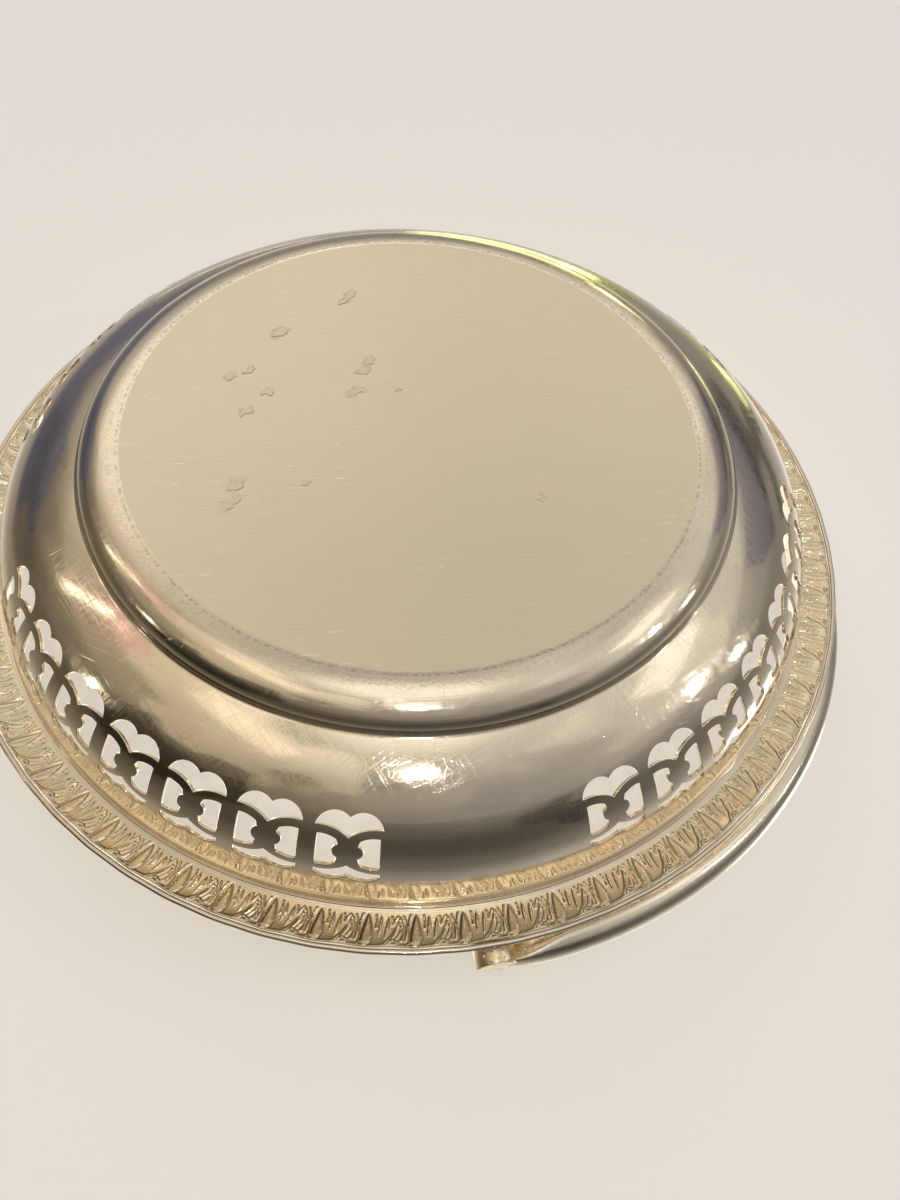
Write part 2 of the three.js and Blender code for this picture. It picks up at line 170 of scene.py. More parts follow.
def blend(share, one, two):
    """A colour between two, each a linked one or an (r, g, b)."""
    one, two = ((*colour, 1.0) if isinstance(colour, tuple) else colour for colour in (one, two))
    return add_node(share.id_data, "Mix", {0: share, 6: one, 7: two}, data_type="RGBA").outputs[2]


def noise(place, scale, detail):
    sockets = {"Vector": place, "Scale": scale, "Detail": detail}
    return add_node(place.id_data, "TexNoise", sockets).outputs


room = bpy.data.worlds.new("room")
bpy.context.scene.world = room
room.use_nodes = True
room_tree = room.node_tree
room_tree.nodes.clear()
toward = add_node(room_tree, "TexCoord", {}).outputs["Generated"]
upness = add_node(room_tree, "SeparateXYZ", {0: toward}).outputs["Z"]
room_ramp = add_node(room_tree, "ValToRGB", {0: ramp(upness, -1.0, 1.0)})
room_ramp.color_ramp.interpolation = "EASE"
room_stops = room_ramp.color_ramp.elements
for stop in range(len(ROOM_STEPS) - 2):
    room_stops.new(0.5)
for stop, (at, shade) in zip(room_stops, ROOM_STEPS):
    stop.position = at
    stop.color = (shade, shade, shade, 1.0)
bright_lean = vector_sum("DOT_PRODUCT", toward, BRIGHT_SIDE)
strength = times(room_ramp.outputs["Color"], ramp(bright_lean, SIDE_FROM, SIDE_TO, DIM_SIDE, FULL_SIDE))
creases = noise(toward, CREASE_SCALE, CREASE_DETAIL)["Color"]
centred = vector_sum("SUBTRACT", creases, (0.5, 0.5, 0.5))
creased = vector_sum("MULTIPLY_ADD", centred, (CREASE_REACH, CREASE_REACH, CREASE_REACH), toward)


def card_at(middle, edge, within=1.0, outside=0.0):
    """A number that has one value within a card's creased edge and another outside it."""
    inner, outer = (math.cos(math.radians(angle)) for angle in edge)
    lean = vector_sum("DOT_PRODUCT", creased, aim(*middle))
    return ramp(lean, outer, inner, outside, within, "SMOOTHSTEP")


for middle, edge, brighter in CARDS:
    strength = times(strength, card_at(middle, edge, brighter, 1.0))
warm_lean = vector_sum("DOT_PRODUCT", toward, WARM_SIDE)
tint = blend(ramp(warm_lean, WARM_FROM, WARM_TO, kind="SMOOTHSTEP"), ROOM_PALE, ROOM_WARM)
for middle, edge, colour in TINTS:
    tint = blend(card_at(middle, edge), tint, colour)
room_light = add_node(room_tree, "Background", {"Color": tint, "Strength": strength})
seen_room = add_node(room_tree, "Background", {"Color": SEEN_ROOM, "Strength": SEEN_STRENGTH})
seen_rays = add_node(room_tree, "LightPath", {}).outputs["Is Camera Ray"]
room_sides = {0: seen_rays, 1: room_light.outputs[0], 2: seen_room.outputs[0]}
room_choice = add_node(room_tree, "MixShader", room_sides)
add_node(room_tree, "OutputWorld", {"Surface": room_choice.outputs[0]})

# The lamps: soft boxes and strips under the basket and beside it, three small round lamps that
# make the sharp highlights, and two boxes overhead for the table and the views from above.
LAMP_AIM, LAMP_PALE = (0, 0, 0.02), (1.0, 0.97, 0.92)
ROUND_LAMP_AIM, ROUND_LAMP_ACROSS = (0, 0.03, 0.02), 0.026
LAMP_AWAY, ROUND_LAMP_AWAY = 0.9, 0.85
# Each box: its name, place, width, height, watts and colour
SOFT_BOXES = [("low_box", (-0.25, -0.75, -0.65), 0.70, 0.45, 0.17, LAMP_PALE),
              ("low_side_box", aim(8, -48) * LAMP_AWAY, 0.26, 0.16, 0.07, LAMP_PALE),
              ("low_left_box", aim(160, -60) * LAMP_AWAY, 0.34, 0.12, 0.04, (1.0, 0.88, 0.68)),
              ("low_strip", (-0.80, -0.32, -0.62), 0.04, 0.34, 0.10, (1.0, 0.90, 0.72)),
              ("left_strip", aim(176, -20) * LAMP_AWAY, 0.03, 0.10, 0.08, (1.0, 0.93, 0.80)),
              ("far_strip", aim(-100, 8) * LAMP_AWAY, 0.30, 0.03, 0.02, LAMP_PALE),
              ("top_box", (-0.35, -0.45, 0.90), 0.60, 0.60, 2.6, LAMP_PALE),
              ("top_side_box", (0.80, 0.20, 0.60), 0.30, 0.50, 1.2, LAMP_PALE)]
# Each round lamp: its name, azimuth, elevation and watts
ROUND_LAMPS = [("near_lamp", 95, -61.5, 0.36), ("side_lamp", 20, -33, 0.16), ("low_lamp", 12, -20, 0.08)]


def soft_lamp(name, place, target, width, height, watts, colour, shape):
    data = bpy.data.lights.new(name, "AREA")
    data.shape = shape
    data.size, data.size_y = width, height
    data.energy = watts
    data.color = colour
    lamp = bpy.data.objects.new(name, data)
    lamp.location = place
    lamp.rotation_mode = "QUATERNION"
    lamp.rotation_quaternion = (Vector(target) - Vector(place)).to_track_quat("-Z", "Y")
    bpy.context.collection.objects.link(lamp)


for name, place, width, height, watts, colour in SOFT_BOXES:
    soft_lamp(name, place, LAMP_AIM, width, height, watts, colour, "RECTANGLE")
for name, azimuth, elevation, watts in ROUND_LAMPS:
    soft_lamp(name, aim(azimuth, elevation) * ROUND_LAMP_AWAY, ROUND_LAMP_AIM,
              ROUND_LAMP_ACROSS, ROUND_LAMP_ACROSS, watts, LAMP_PALE, "DISK")

# The dish: one sheet of nickel silver, spun to a flat base with a rounded shoulder, a groove
# and a bulging wall, pierced through with four panels of linked rings, and then plated.
SHEET = 1.0
BASE_RADIUS, FOOT_RADIUS, FOOT_HEIGHT = 75.2, 87.4, 6.2
GROOVE_RADIUS, GROOVE_HEIGHT = 88.4, 7.2
WALL_RADIUS, WALL_TOP, WALL_STRAIGHT = 115.4, 39.9, 20.9
BOUGE_RUN, BOUGE_RISE = 14.1, 3.8
LIP_WIDTH = 1.6
PANELS, UNITS, UNIT_TURN = 4, 7, 9.6
UNIT_MIDDLE = 25.2
LOBE_ACROSS, LOBE_RADIUS, LOBE_ABOVE = 3.22, 4.64, 4.36
RING_ACROSS = 6.2
UPPER_RING, UPPER_CREST, UPPER_BAND = 9.2, 5.5, 2.25
LOWER_RING, LOWER_CREST, LOWER_BAND = 10.6, 6.4, 1.5
UPPER_HALF, SIDE_OUTER, SIDE_NECK, SIDE_NOTCH = 7.74, 7.07, 2.3, 0.45
BUD_RADIUS, BUD_ACROSS, BUD_BELOW = 1.8, 1.75, 0.6
SLOT_HALF, SLOT_LOBE_ACROSS, SLOT_LOBE, SLOT_LOBE_BELOW = 7.19, 3.6, 5.33, 3.67
HOLE_ROUNDING = 0.2
FILLET = 0.55
LIP_ROUND, LIP_CUT, LIP_NEAR_EDGE = 0.2, 0.06, 0.05
SOLDER_OUT, SOLDER_HALF, SOLDER_DEEP, SOLDER_END_OUT = 0.50, 0.22, 0.20, 0.85
SOLDER_BEND = 1.3
SOLDER_STEP, SOLDER_FLAT, WALL_END = 0.10, 0.02, 0.3
# The points that fill a unit between its holes: their spacing, their distance from the holes,
# and how far in they start from its lower edge and its sides and end before the others
FILL_STEP, FILL_CLEAR, FILL_LOW, FILL_SIDE, FILL_END = 1.05, 0.62, 0.7, 0.75, 0.5
TURNS = 300
UNIT_STEPS = 8


def curve_rows(p0, p1, p2, p3, steps):
    """Points and underside normals along a curve, as [radius, height, out, up] rows."""
    t = np.linspace(0, 1, steps + 1)[:, None]
    p = [np.array(q, float) for q in (p0, p1, p2, p3)]
    at = (1 - t) ** 3 * p[0] + 3 * (1 - t) ** 2 * t * p[1] + 3 * (1 - t) * t**2 * p[2] + t**3 * p[3]
    go = (1 - t) ** 2 * (p[1] - p[0]) + 2 * (1 - t) * t * (p[2] - p[1]) + t**2 * (p[3] - p[2])
    go /= np.linalg.norm(go, axis=1)[:, None]
    return np.column_stack([at, go[:, 1], -go[:, 0]])


wall_ends = [(GROOVE_RADIUS, GROOVE_HEIGHT), (GROOVE_RADIUS + BOUGE_RUN, GROOVE_HEIGHT + BOUGE_RISE),
             (WALL_RADIUS, WALL_TOP - WALL_STRAIGHT), (WALL_RADIUS, WALL_TOP)]
wall_track = curve_rows(*wall_ends, 3000)
wall_run = np.concatenate([[0], np.cumsum(np.hypot(*np.diff(wall_track[:, :2], axis=0).T))])


def wall_row(distance):
    return [float(np.interp(distance, wall_run, wall_track[:, i])) for i in range(4)]


def inside_of(row):
    r, z, out, up = row
    return [r - SHEET * out, z - SHEET * up, -out, -up]


def dish_rows():
    """The sheet's whole outline, from the middle of the underside round the lip to the inside."""
    flat = [[r, 0.0, 0.0, -1.0] for r in (0, 15, 30, 45, 58, 68, 73, BASE_RADIUS)]
    turns = np.linspace(0, math.pi / 2, 15)[1:]
    run = FOOT_RADIUS - BASE_RADIUS
    shoulder = []
    for a in turns:
        n = np.array([math.sin(a) / run, -math.cos(a) / FOOT_HEIGHT])
        n /= np.linalg.norm(n)
        shoulder.append([BASE_RADIUS + run * math.sin(a), FOOT_HEIGHT * (1 - math.cos(a)), *n])
    start = np.array(wall_row(0))
    along = np.array([-start[3], start[2]])
    fillet = curve_rows((FOOT_RADIUS, FOOT_HEIGHT), (FOOT_RADIUS, FOOT_HEIGHT + FILLET),
                        start[:2] - FILLET * along, start[:2], 6)[1:].tolist()
    first = UNIT_MIDDLE - LOBE_ABOVE - LOBE_RADIUS - SHEET
    last = UNIT_MIDDLE + SLOT_LOBE_BELOW + SLOT_LOBE + SHEET
    lower = [wall_row(d) for d in np.linspace(0, first, 12)[1:-1]]
    panel = [wall_row(d) for d in np.linspace(first, last, 13)]
    upper = [wall_row(d) for d in np.linspace(last, wall_run[-1] - WALL_END, 6)[1:]]
    under = flat + shoulder + fillet + lower + panel + upper
    h = math.sqrt(0.5)
    edge = WALL_RADIUS + LIP_WIDTH
    top = WALL_TOP + SHEET
    inner = WALL_RADIUS - SHEET
    bead = [[WALL_RADIUS + SOLDER_OUT + SOLDER_HALF * math.sin(a), WALL_TOP - SOLDER_DEEP * math.cos(a),
             math.sin(a), -math.cos(a)] for a in np.linspace(-SOLDER_BEND, SOLDER_BEND, 7)]
    lip = [[WALL_RADIUS + LIP_CUT, WALL_TOP - SOLDER_STEP, h, -h],
           [WALL_RADIUS + LIP_ROUND, WALL_TOP - SOLDER_FLAT, 0.2, -0.98], *bead,
           [WALL_RADIUS + SOLDER_END_OUT, WALL_TOP, 0.0, -1.0], [edge - LIP_ROUND, WALL_TOP, 0.0, -1.0],
           [edge - LIP_NEAR_EDGE, WALL_TOP + LIP_CUT, h, -h], [edge, WALL_TOP + LIP_ROUND, 1.0, 0.0],
           [edge, top - LIP_ROUND, 1.0, 0.0], [edge - LIP_CUT, top - LIP_CUT, h, h],
           [edge - LIP_ROUND, top, 0.0, 1.0], [inner + LIP_ROUND, top, 0.0, 1.0],
           [inner + LIP_CUT, top - LIP_CUT, -h, h], [inner, top - LIP_ROUND, -1.0, 0.0]]
    rows = under + lip + [inside_of(r) for r in reversed(under)]
    panel_from = len(flat) + len(shoulder) + len(fillet) + len(lower)
    spans = (panel_from, panel_from + len(panel) - 1)
    ends = len(rows) - 1
    return rows, [spans, (ends - spans[1], ends - spans[0])], first, last


def ring_at(middle, radius, across, side):
    return middle + side * math.sqrt(radius**2 - (RING_ACROSS - across) ** 2)


def arc(cx, cy, radius, start, end, steps):
    turns = np.linspace(start, end, steps + 1)
    return [(cx + radius * math.cos(a), cy + radius * math.sin(a)) for a in turns]


def both_halves(half):
    return half + [(-x, y) for x, y in reversed(half[1:-1])]


def unit_holes():
    """The four holes of one unit as [across, towards the rim] points about its middle."""
    upper_mid, lower_mid = UPPER_RING - UPPER_CREST, LOWER_CREST - LOWER_RING
    ring = [(-x, ring_at(upper_mid, UPPER_RING, x, -1)) for x in np.linspace(0, UPPER_HALF, 12)]
    start = math.atan2(ring[-1][1] + LOBE_ABOVE, LOBE_ACROSS - UPPER_HALF)
    cusp = math.atan2(-math.sqrt(LOBE_RADIUS**2 - LOBE_ACROSS**2), LOBE_ACROSS)
    start -= 2 * math.pi if start > 0 else 0
    lobe = arc(-LOBE_ACROSS, -LOBE_ABOVE, LOBE_RADIUS, start, cusp, 20)
    hearts = both_halves(ring[:-1] + lobe)
    across = np.linspace(SIDE_OUTER, SIDE_NECK + SIDE_NOTCH, 9)
    top = [(-x, ring_at(upper_mid, UPPER_RING - UPPER_BAND, x, -1)) for x in across]
    bottom = [(-x, ring_at(lower_mid, LOWER_RING - LOWER_BAND, x, 1)) for x in reversed(across)]
    bend = math.acos((BUD_ACROSS - SIDE_NECK) / BUD_RADIUS)
    bud = arc(-BUD_ACROSS, BUD_BELOW, BUD_RADIUS, 2 * math.pi - bend, bend, 12)
    outer = [(bottom[-1][0], y) for y in np.linspace(bottom[-1][1], top[0][1], 8)[1:-1]]
    left = top + bud + bottom + outer
    over = [(-x, ring_at(lower_mid, LOWER_RING, x, 1)) for x in np.linspace(0, SLOT_HALF, 12)]
    rise = math.sqrt(SLOT_LOBE**2 - (SLOT_HALF - SLOT_LOBE_ACROSS) ** 2)
    drop = math.sqrt(SLOT_LOBE**2 - SLOT_LOBE_ACROSS**2)
    sweep = arc(-SLOT_LOBE_ACROSS, SLOT_LOBE_BELOW, SLOT_LOBE,
                math.atan2(rise, SLOT_LOBE_ACROSS - SLOT_HALF), math.atan2(drop, SLOT_LOBE_ACROSS), 14)
    slot = both_halves(over + sweep)
    holes = [np.array(hearts), np.array(left), np.array([(-x, y) for x, y in left]), np.array(slot)]
    return [h if signed_area(h) > 0 else h[::-1] for h in holes]


def signed_area(loop):
    x, y = loop.T
    return 0.5 * float(np.sum(x * np.roll(y, -1) - np.roll(x, -1) * y))


def loop_normals(loop):
    """Directions that point into the hole, one for each corner of its outline."""
    before, after = loop - np.roll(loop, 1, axis=0), np.roll(loop, -1, axis=0) - loop
    normals = []
    for a, b in zip(before, after):
        a, b = a / np.linalg.norm(a), b / np.linalg.norm(b)
        n = np.array([-a[1] - b[1], a[0] + b[0]])
        normals.append(n / max(np.linalg.norm(n), 1e-6))
    return np.array(normals)


def inside_loop(loop, point):
    x, y = point
    hit = False
    for (x1, y1), (x2, y2) in zip(loop, np.roll(loop, -1, axis=0)):
        if (y1 > y) != (y2 > y) and x < (x2 - x1) * (y - y1) / (y2 - y1) + x1:
            hit = not hit
    return hit


def distance_to(loop, point):
    a, b = loop, np.roll(loop, -1, axis=0)
    t = np.clip(np.sum((point - a) * (b - a), axis=1) / np.sum((b - a) ** 2, axis=1), 0, 1)
    return float(np.min(np.linalg.norm(a + t[:, None] * (b - a) - point, axis=1)))


def dish_mesh():
    rows, spans, first, last = dish_rows()
    step = 2 * math.pi / TURNS
    unit = math.radians(UNIT_TURN)
    middle_radius = wall_row(UNIT_MIDDLE)[0]
    panel_turns = TURNS // PANELS
    gap_turns = panel_turns - UNITS * UNIT_STEPS
    start_angle = -math.pi / 2 + step * gap_turns / 2
    unit_starts = [p * panel_turns + u * UNIT_STEPS for p in range(PANELS) for u in range(UNITS)]
    covered = {k for s in unit_starts for k in range(s, s + UNIT_STEPS)}
    points, normals, faces, known = [], [], [], {}

    def add(row, angle, lean=(0, 0, 0)):
        r, z, out, up = row
        c, s = math.cos(angle), math.sin(angle)
        points.append((r * c * MM, r * s * MM, z * MM))
        normals.append((out * c, out * s, up) if lean == (0, 0, 0) else lean)
        return len(points) - 1

    def at(row, k):
        key = (row, 0 if row in (0, len(rows) - 1) else k % TURNS)
        if key not in known:
            known[key] = add(rows[row], start_angle + step * key[1])
        return known[key]

    for row in range(len(rows) - 1):
        in_span = any(a <= row < b for a, b in spans)
        for k in range(TURNS):
            if in_span and k in covered:
                continue
            ring = [at(row, k), at(row, k + 1), at(row + 1, k + 1), at(row + 1, k)]
            faces.append(tuple(v for i, v in enumerate(ring) if v != ring[i - 1]))

    half = unit * middle_radius / 2
    heights = np.linspace(first, last, spans[0][1] - spans[0][0] + 1) - UNIT_MIDDLE
    span_rows = len(heights)
    contour = [(i, 0) for i in range(UNIT_STEPS + 1)]
    contour += [(UNIT_STEPS, j) for j in range(1, span_rows - 1)]
    contour += [(i, span_rows - 1) for i in range(UNIT_STEPS, -1, -1)]
    contour += [(0, j) for j in range(span_rows - 2, 0, -1)]
    flat = [((2 * i / UNIT_STEPS - 1) * half, heights[j]) for i, j in contour]
    holes = unit_holes()
    facing = [loop_normals(h) for h in holes]
    wide = [h - HOLE_ROUNDING * n for h, n in zip(holes, facing)]
    edges = [(i, (i + 1) % len(flat)) for i in range(len(flat))]
    for loop in wide:
        base = len(flat)
        flat += [tuple(p) for p in loop]
        edges += [(base + i, base + (i + 1) % len(loop)) for i in range(len(loop))]
    for y in np.arange(heights[0] + FILL_LOW, heights[-1] - FILL_END, FILL_STEP):
        for x in np.arange(-half + FILL_SIDE, half - FILL_END, FILL_STEP):
            spot = np.array([x, y])
            if any(inside_loop(h, spot) or distance_to(h, spot) < FILL_CLEAR for h in holes):
                continue
            flat.append((x, y))
    made = geometry.delaunay_2d_cdt([Vector(p) for p in flat], edges, [], 0, 1e-5)
    places = [made[3][i][0] for i in range(len(made[0]))]
    triangles = []
    for face in made[2]:
        spot = np.mean([np.array(made[0][i]) for i in face], axis=0)
        if not any(inside_loop(w, spot) for w in wide):
            triangles.append([places[i] for i in face])

    for start in unit_starts:
        middle = start_angle + step * (start + UNIT_STEPS / 2)
        for side, (low, high) in enumerate(spans):
            corner = []
            for i, (x, y) in enumerate(flat):
                if i < len(contour):
                    across, j = contour[i]
                    corner.append(at(low + j if side == 0 else high - j, start + across))
                else:
                    row = wall_row(UNIT_MIDDLE + y)
                    corner.append(add(row if side == 0 else inside_of(row), middle + x / middle_radius))
            for a, b, c in triangles:
                b, c = (b, c) if side == 0 else (c, b)
                faces.append((corner[a], corner[b], corner[c]))
            if side == 0:
                outer_corner = corner
        base = len(contour)
        for loop, n in zip(holes, facing):
            count = len(loop)
            bands = []
            for depth in (HOLE_ROUNDING, SHEET - HOLE_ROUNDING):
                band = []
                for (x, y), (nx, ny) in zip(loop, n):
                    r, z, out, up = wall_row(UNIT_MIDDLE + y)
                    angle = middle + x / middle_radius
                    c, s = math.cos(angle), math.sin(angle)
                    along = (-up * c * ny - s * nx, -up * s * ny + c * nx, out * ny)
                    band.append(add((r - depth * out, z - depth * up, 0, 0), angle, along))
                bands.append(band)
            outside = [outer_corner[base + i] for i in range(count)]
            inside = [corner[base + i] for i in range(count)]
            for one, two in ((outside, bands[0]), (bands[0], bands[1]), (bands[1], inside)):
                for i in range(count):
                    k = (i + 1) % count
                    faces.append((one[i], one[k], two[k], two[i]))
            base += count
    return points, normals, faces


def solid_from(name, points, faces, plate, normals=None, sharp=None):
    mesh = bpy.data.meshes.new(name)
    mesh.from_pydata([tuple(p) for p in points], [], faces)
    mesh.validate()
    mesh.polygons.foreach_set("use_smooth", [True] * len(mesh.polygons))
    if sharp is not None:
        mesh.set_sharp_from_angle(angle=math.radians(sharp))
    if normals is not None:
        mesh.normals_split_custom_set_from_vertices([Vector(n).normalized() for n in normals])
    mesh.materials.append(plate)
    piece = bpy.data.objects.new(name, mesh)
    bpy.context.collection.objects.link(piece)
    return piece


def plus(*parts):
    return reckon("ADD", *parts)


def minus(*parts):
    return reckon("SUBTRACT", *parts)


def most(*parts):
    return reckon("MAXIMUM", *parts)


def spread(share, low, high):
    """A number from low to high as the share goes from 0 to 1."""
    return ramp(share, 0.0, 1.0, low, high)


def near_to(value, target, reach, full):
    """A number that is 1 within a distance of the target and fades to 0 at its reach."""
    return ramp(reckon("ABSOLUTE", minus(value, target)), reach, full)


def silver(name, colour, roughness):
    """Polished silver plate. Returns the material, its shader and the places on its piece."""
    plate = bpy.data.materials.new(name)
    plate.use_nodes = True
    shader = plate.node_tree.nodes["Principled BSDF"]
    shader.inputs["Metallic"].default_value = 1.0
    shader.inputs["Roughness"].default_value = roughness
    shader.inputs["Base Color"].default_value = (*colour, 1.0)
    return plate, shader, add_node(plate.node_tree, "TexCoord", {}).outputs["Object"]


def finish_silver(shader, colour, roughness, height, bump_strength, bump_depth):
    """Gives the silver its colour, its roughness and the fine relief of its surface."""
    tree = shader.id_data
    tree.links.new(colour, shader.inputs["Base Color"])
    tree.links.new(roughness, shader.inputs["Roughness"])
    bump = add_node(tree, "Bump", {"Strength": bump_strength, "Distance": bump_depth, "Height": height})
    tree.links.new(bump.outputs[0], shader.inputs["Normal"])


def cloudy(place, size, low, high):
    """Soft patches of a given size in metres, from 0 to 1."""
    return ramp(noise(place, 1 / size, 5)["Fac"], low, high)


def stretched(place, turn, scale):
    """Places turned by an angle in degrees and then stretched, so that marks run one way."""
    spun = add_node(place.id_data, "Mapping", {"Vector": place, "Rotation": (0, 0, math.radians(turn))})
    return add_node(place.id_data, "Mapping", {"Vector": spun.outputs[0], "Scale": scale}).outputs[0]


def streaks(place, turn, length, width, low, high, detail=3):
    """Long soft streaks in one direction, from 0 to 1, as a belt or a brush leaves them."""
    lanes = stretched(place, turn, (1 / length, 1 / width, 1 / length))
    return ramp(noise(lanes, 1 / MM, detail)["Fac"], low, high)


def scratch_lines(place, layers):
    """Fine straight scratches in several directions, each as (turn, length, width, rarity)."""
    return most(*[streaks(place, *layer, layer[-1] + SCRATCH_EDGE, detail=1) for layer in layers])


def round_marks(place, radius, fine, length, low, high):
    """Fine lines that run round the dish, as the spinner's and the polisher's marks do."""
    x, y, z = add_node(place.id_data, "SeparateXYZ", {0: place}).outputs
    parts = {0: times(plus(radius, z), 1 / fine), 1: times(x, 1 / length), 2: times(y, 1 / length)}
    rings = add_node(place.id_data, "CombineXYZ", parts).outputs[0]
    return ramp(noise(rings, 1.0, 3)["Fac"], low, high)


def swirls(place, size, thin):
    """Hair-fine curls, as a polishing cloth leaves them: the lines along which soft noise is even."""
    return near_to(noise(place, 1 / size, 1)["Fac"], 0.5, thin, 0.0)


# The base's dents and knocks, each as [x, y, half width] on the flat underside. They are leaning
# ovals whose outline is shaken by noise, and the shift makes good how far the noise moves them all.
KNOCKS = [(-10.6, -52.5, 1.9), (-12.6, -50.0, 1.5), (-32.1, -38.2, 2.4), (-41.3, -24.3, 1.5),
          (-46.5, -22.0, 1.7), (-37.0, -15.0, 1.6), (-43.0, -9.0, 2.0), (-8.4, -24.4, 2.0),
          (-10.8, -20.6, 2.0), (-14.0, -12.5, 2.4), (-47.3, 16.1, 2.2), (-48.8, 21.7, 2.4),
          (-2.0, -12.0, 1.1), (-30.0, 18.0, 1.2), (28.0, 30.0, 1.3)]
KNOCK_LEAN, KNOCK_NARROW = 35, 1.7
KNOCK_SHAKE, KNOCK_SHAKE_SCALE, KNOCK_SHIFT = 0.0045, 420, 2.2
KNOCK_RIM_SHARE, KNOCK_FLOOR_SHARE = 1.5, 0.75
SCRATCH_EDGE = 0.06
SATIN_RAGGED, SATIN_FROM, SATIN_TO = 1.2, 0.8, 1.3
EDGE_LINE, EDGE_LINE_HALF, EDGE_LINE_CORE = 1.15, 0.5, 0.1
RUBBED_OUT, RUBBED_HALF, RUBBED_CORE = 1.8, 2.4, 0.4
FLAT_HEIGHT, WORN_HEIGHT = 0.4, 1.6
# Patchy marks: the patches' size in metres, and the noise at which a mark starts and is full
RAGGED, BEADS, SPECKS = (0.0022, 0.0, 1.0), (0.0012, 0.44, 0.60), (0.0009, 0.46, 0.66)
KNOCK_PATCHES, DASH_PATCHES = (0.0026, 0.40, 0.60), (0.028, 0.47, 0.56)
CLOUDS, SMEARS = (0.05, 0.35, 0.7), (0.011, 0.45, 0.75)
SPUN_LINES, SPUN_ON_WALL = (0.00030, 0.016, 0.5, 0.72), 0.4
BRUSHING, BRUSHING_DARK = (-3, 14, 0.8, 0.35, 0.72), (0.02, 0.08)
# How strongly each mark shows in the colour; the dashes' brightness is a painted glint
CLOUD_BROWN, SMEAR_BROWN, KNOCK_DARK, WORN_DARK, BEAD_DARK = 0.16, 0.08, 0.42, 0.15, 0.55
KNOCK_OUTLINE, KNOCK_FLOOR, BEAD_BRIGHT, DASH_PAINTED_GLINT = 1.3, 0.26, 0.10, 0.9
# How rough the polished and the satin silver are, and what each mark adds or takes away
POLISH_ROUGH, SATIN_ROUGH = (0.045, 0.085), 0.38
SMEAR_ROUGH, MARK_ROUGH, DASH_SMOOTH, SCRATCH_SMOOTH = 0.04, 0.10, 0.20, 0.08
GRAIN_SCALE, GRAIN_HIGH, BUMP_STRENGTH, BUMP_DEPTH = 2600, 0.15, 0.35, 0.00004
BRIGHT_SILVER = (0.88, 0.785, 0.63)
SATIN_SILVER = (0.87, 0.76, 0.575)
# The white of the worn edge's beads, and of the painted glint on the satin's scratch dashes
WORN_AND_GLINT_WHITE = (1.0, 0.96, 0.86)
BROWN_TARNISH = (0.34, 0.25, 0.16)
# Scratches and brushed lines: turn in degrees, length and width in millimetres, and rarity
DASHES = [(-3, 9, 0.6, 0.71), (2, 5, 0.6, 0.72), (-34, 9, 0.45, 0.75)]
BRUSHED = [(-8, 9, 0.5, 0.55), (4, 12, 0.4, 0.60)]
SCRATCHES = [(12, 60, 0.30, 0.70), (-38, 70, 0.3, 0.71), (71, 55, 0.28, 0.71)]
HAIRS = [(25, 16, 0.22, 0.62), (-64, 18, 0.22, 0.62)]
BRUSHED_DEEP = (0.35, 1.0)
WIDE_SWIRLS, SMALL_SWIRLS = (0.0075, 0.014), (0.0046, 0.020)
# How deep the bump presses scratches, dents, brushing, dashes, hairs, spun lines, wear and beads
LAYERS_DEEP = (0.45, 16.0, 0.22, 1.0, 0.20, 0.35, 0.7, -1.2)


def knock_marks(coords, under):
    """The dents' hollows, and how dark each is at its outline and over its floor."""
    shake = noise(coords, KNOCK_SHAKE_SCALE, 2)["Color"]
    shaken = vector_sum("MULTIPLY_ADD", shake, (KNOCK_SHAKE, KNOCK_SHAKE, 0.0), coords)
    leaning = stretched(shaken, KNOCK_LEAN, (1, KNOCK_NARROW, 1))
    c, s = math.cos(math.radians(KNOCK_LEAN)), math.sin(math.radians(KNOCK_LEAN))
    dents = []
    for x, y, half in KNOCKS:
        x, y, half = (x + KNOCK_SHIFT) * MM, (y + KNOCK_SHIFT) * MM, half * MM
        away = vector_sum("DISTANCE", leaning, (x * c - y * s, (x * s + y * c) * KNOCK_NARROW, 0))
        dents.append(ramp(away, KNOCK_RIM_SHARE * half, KNOCK_FLOOR_SHARE * half, kind="SMOOTHSTEP"))
    hollow = times(most(*dents), under)
    outline = times(hollow, minus(1.0, hollow), cloudy(coords, *KNOCK_PATCHES))
    return hollow, plus(times(outline, KNOCK_OUTLINE), times(hollow, KNOCK_FLOOR))


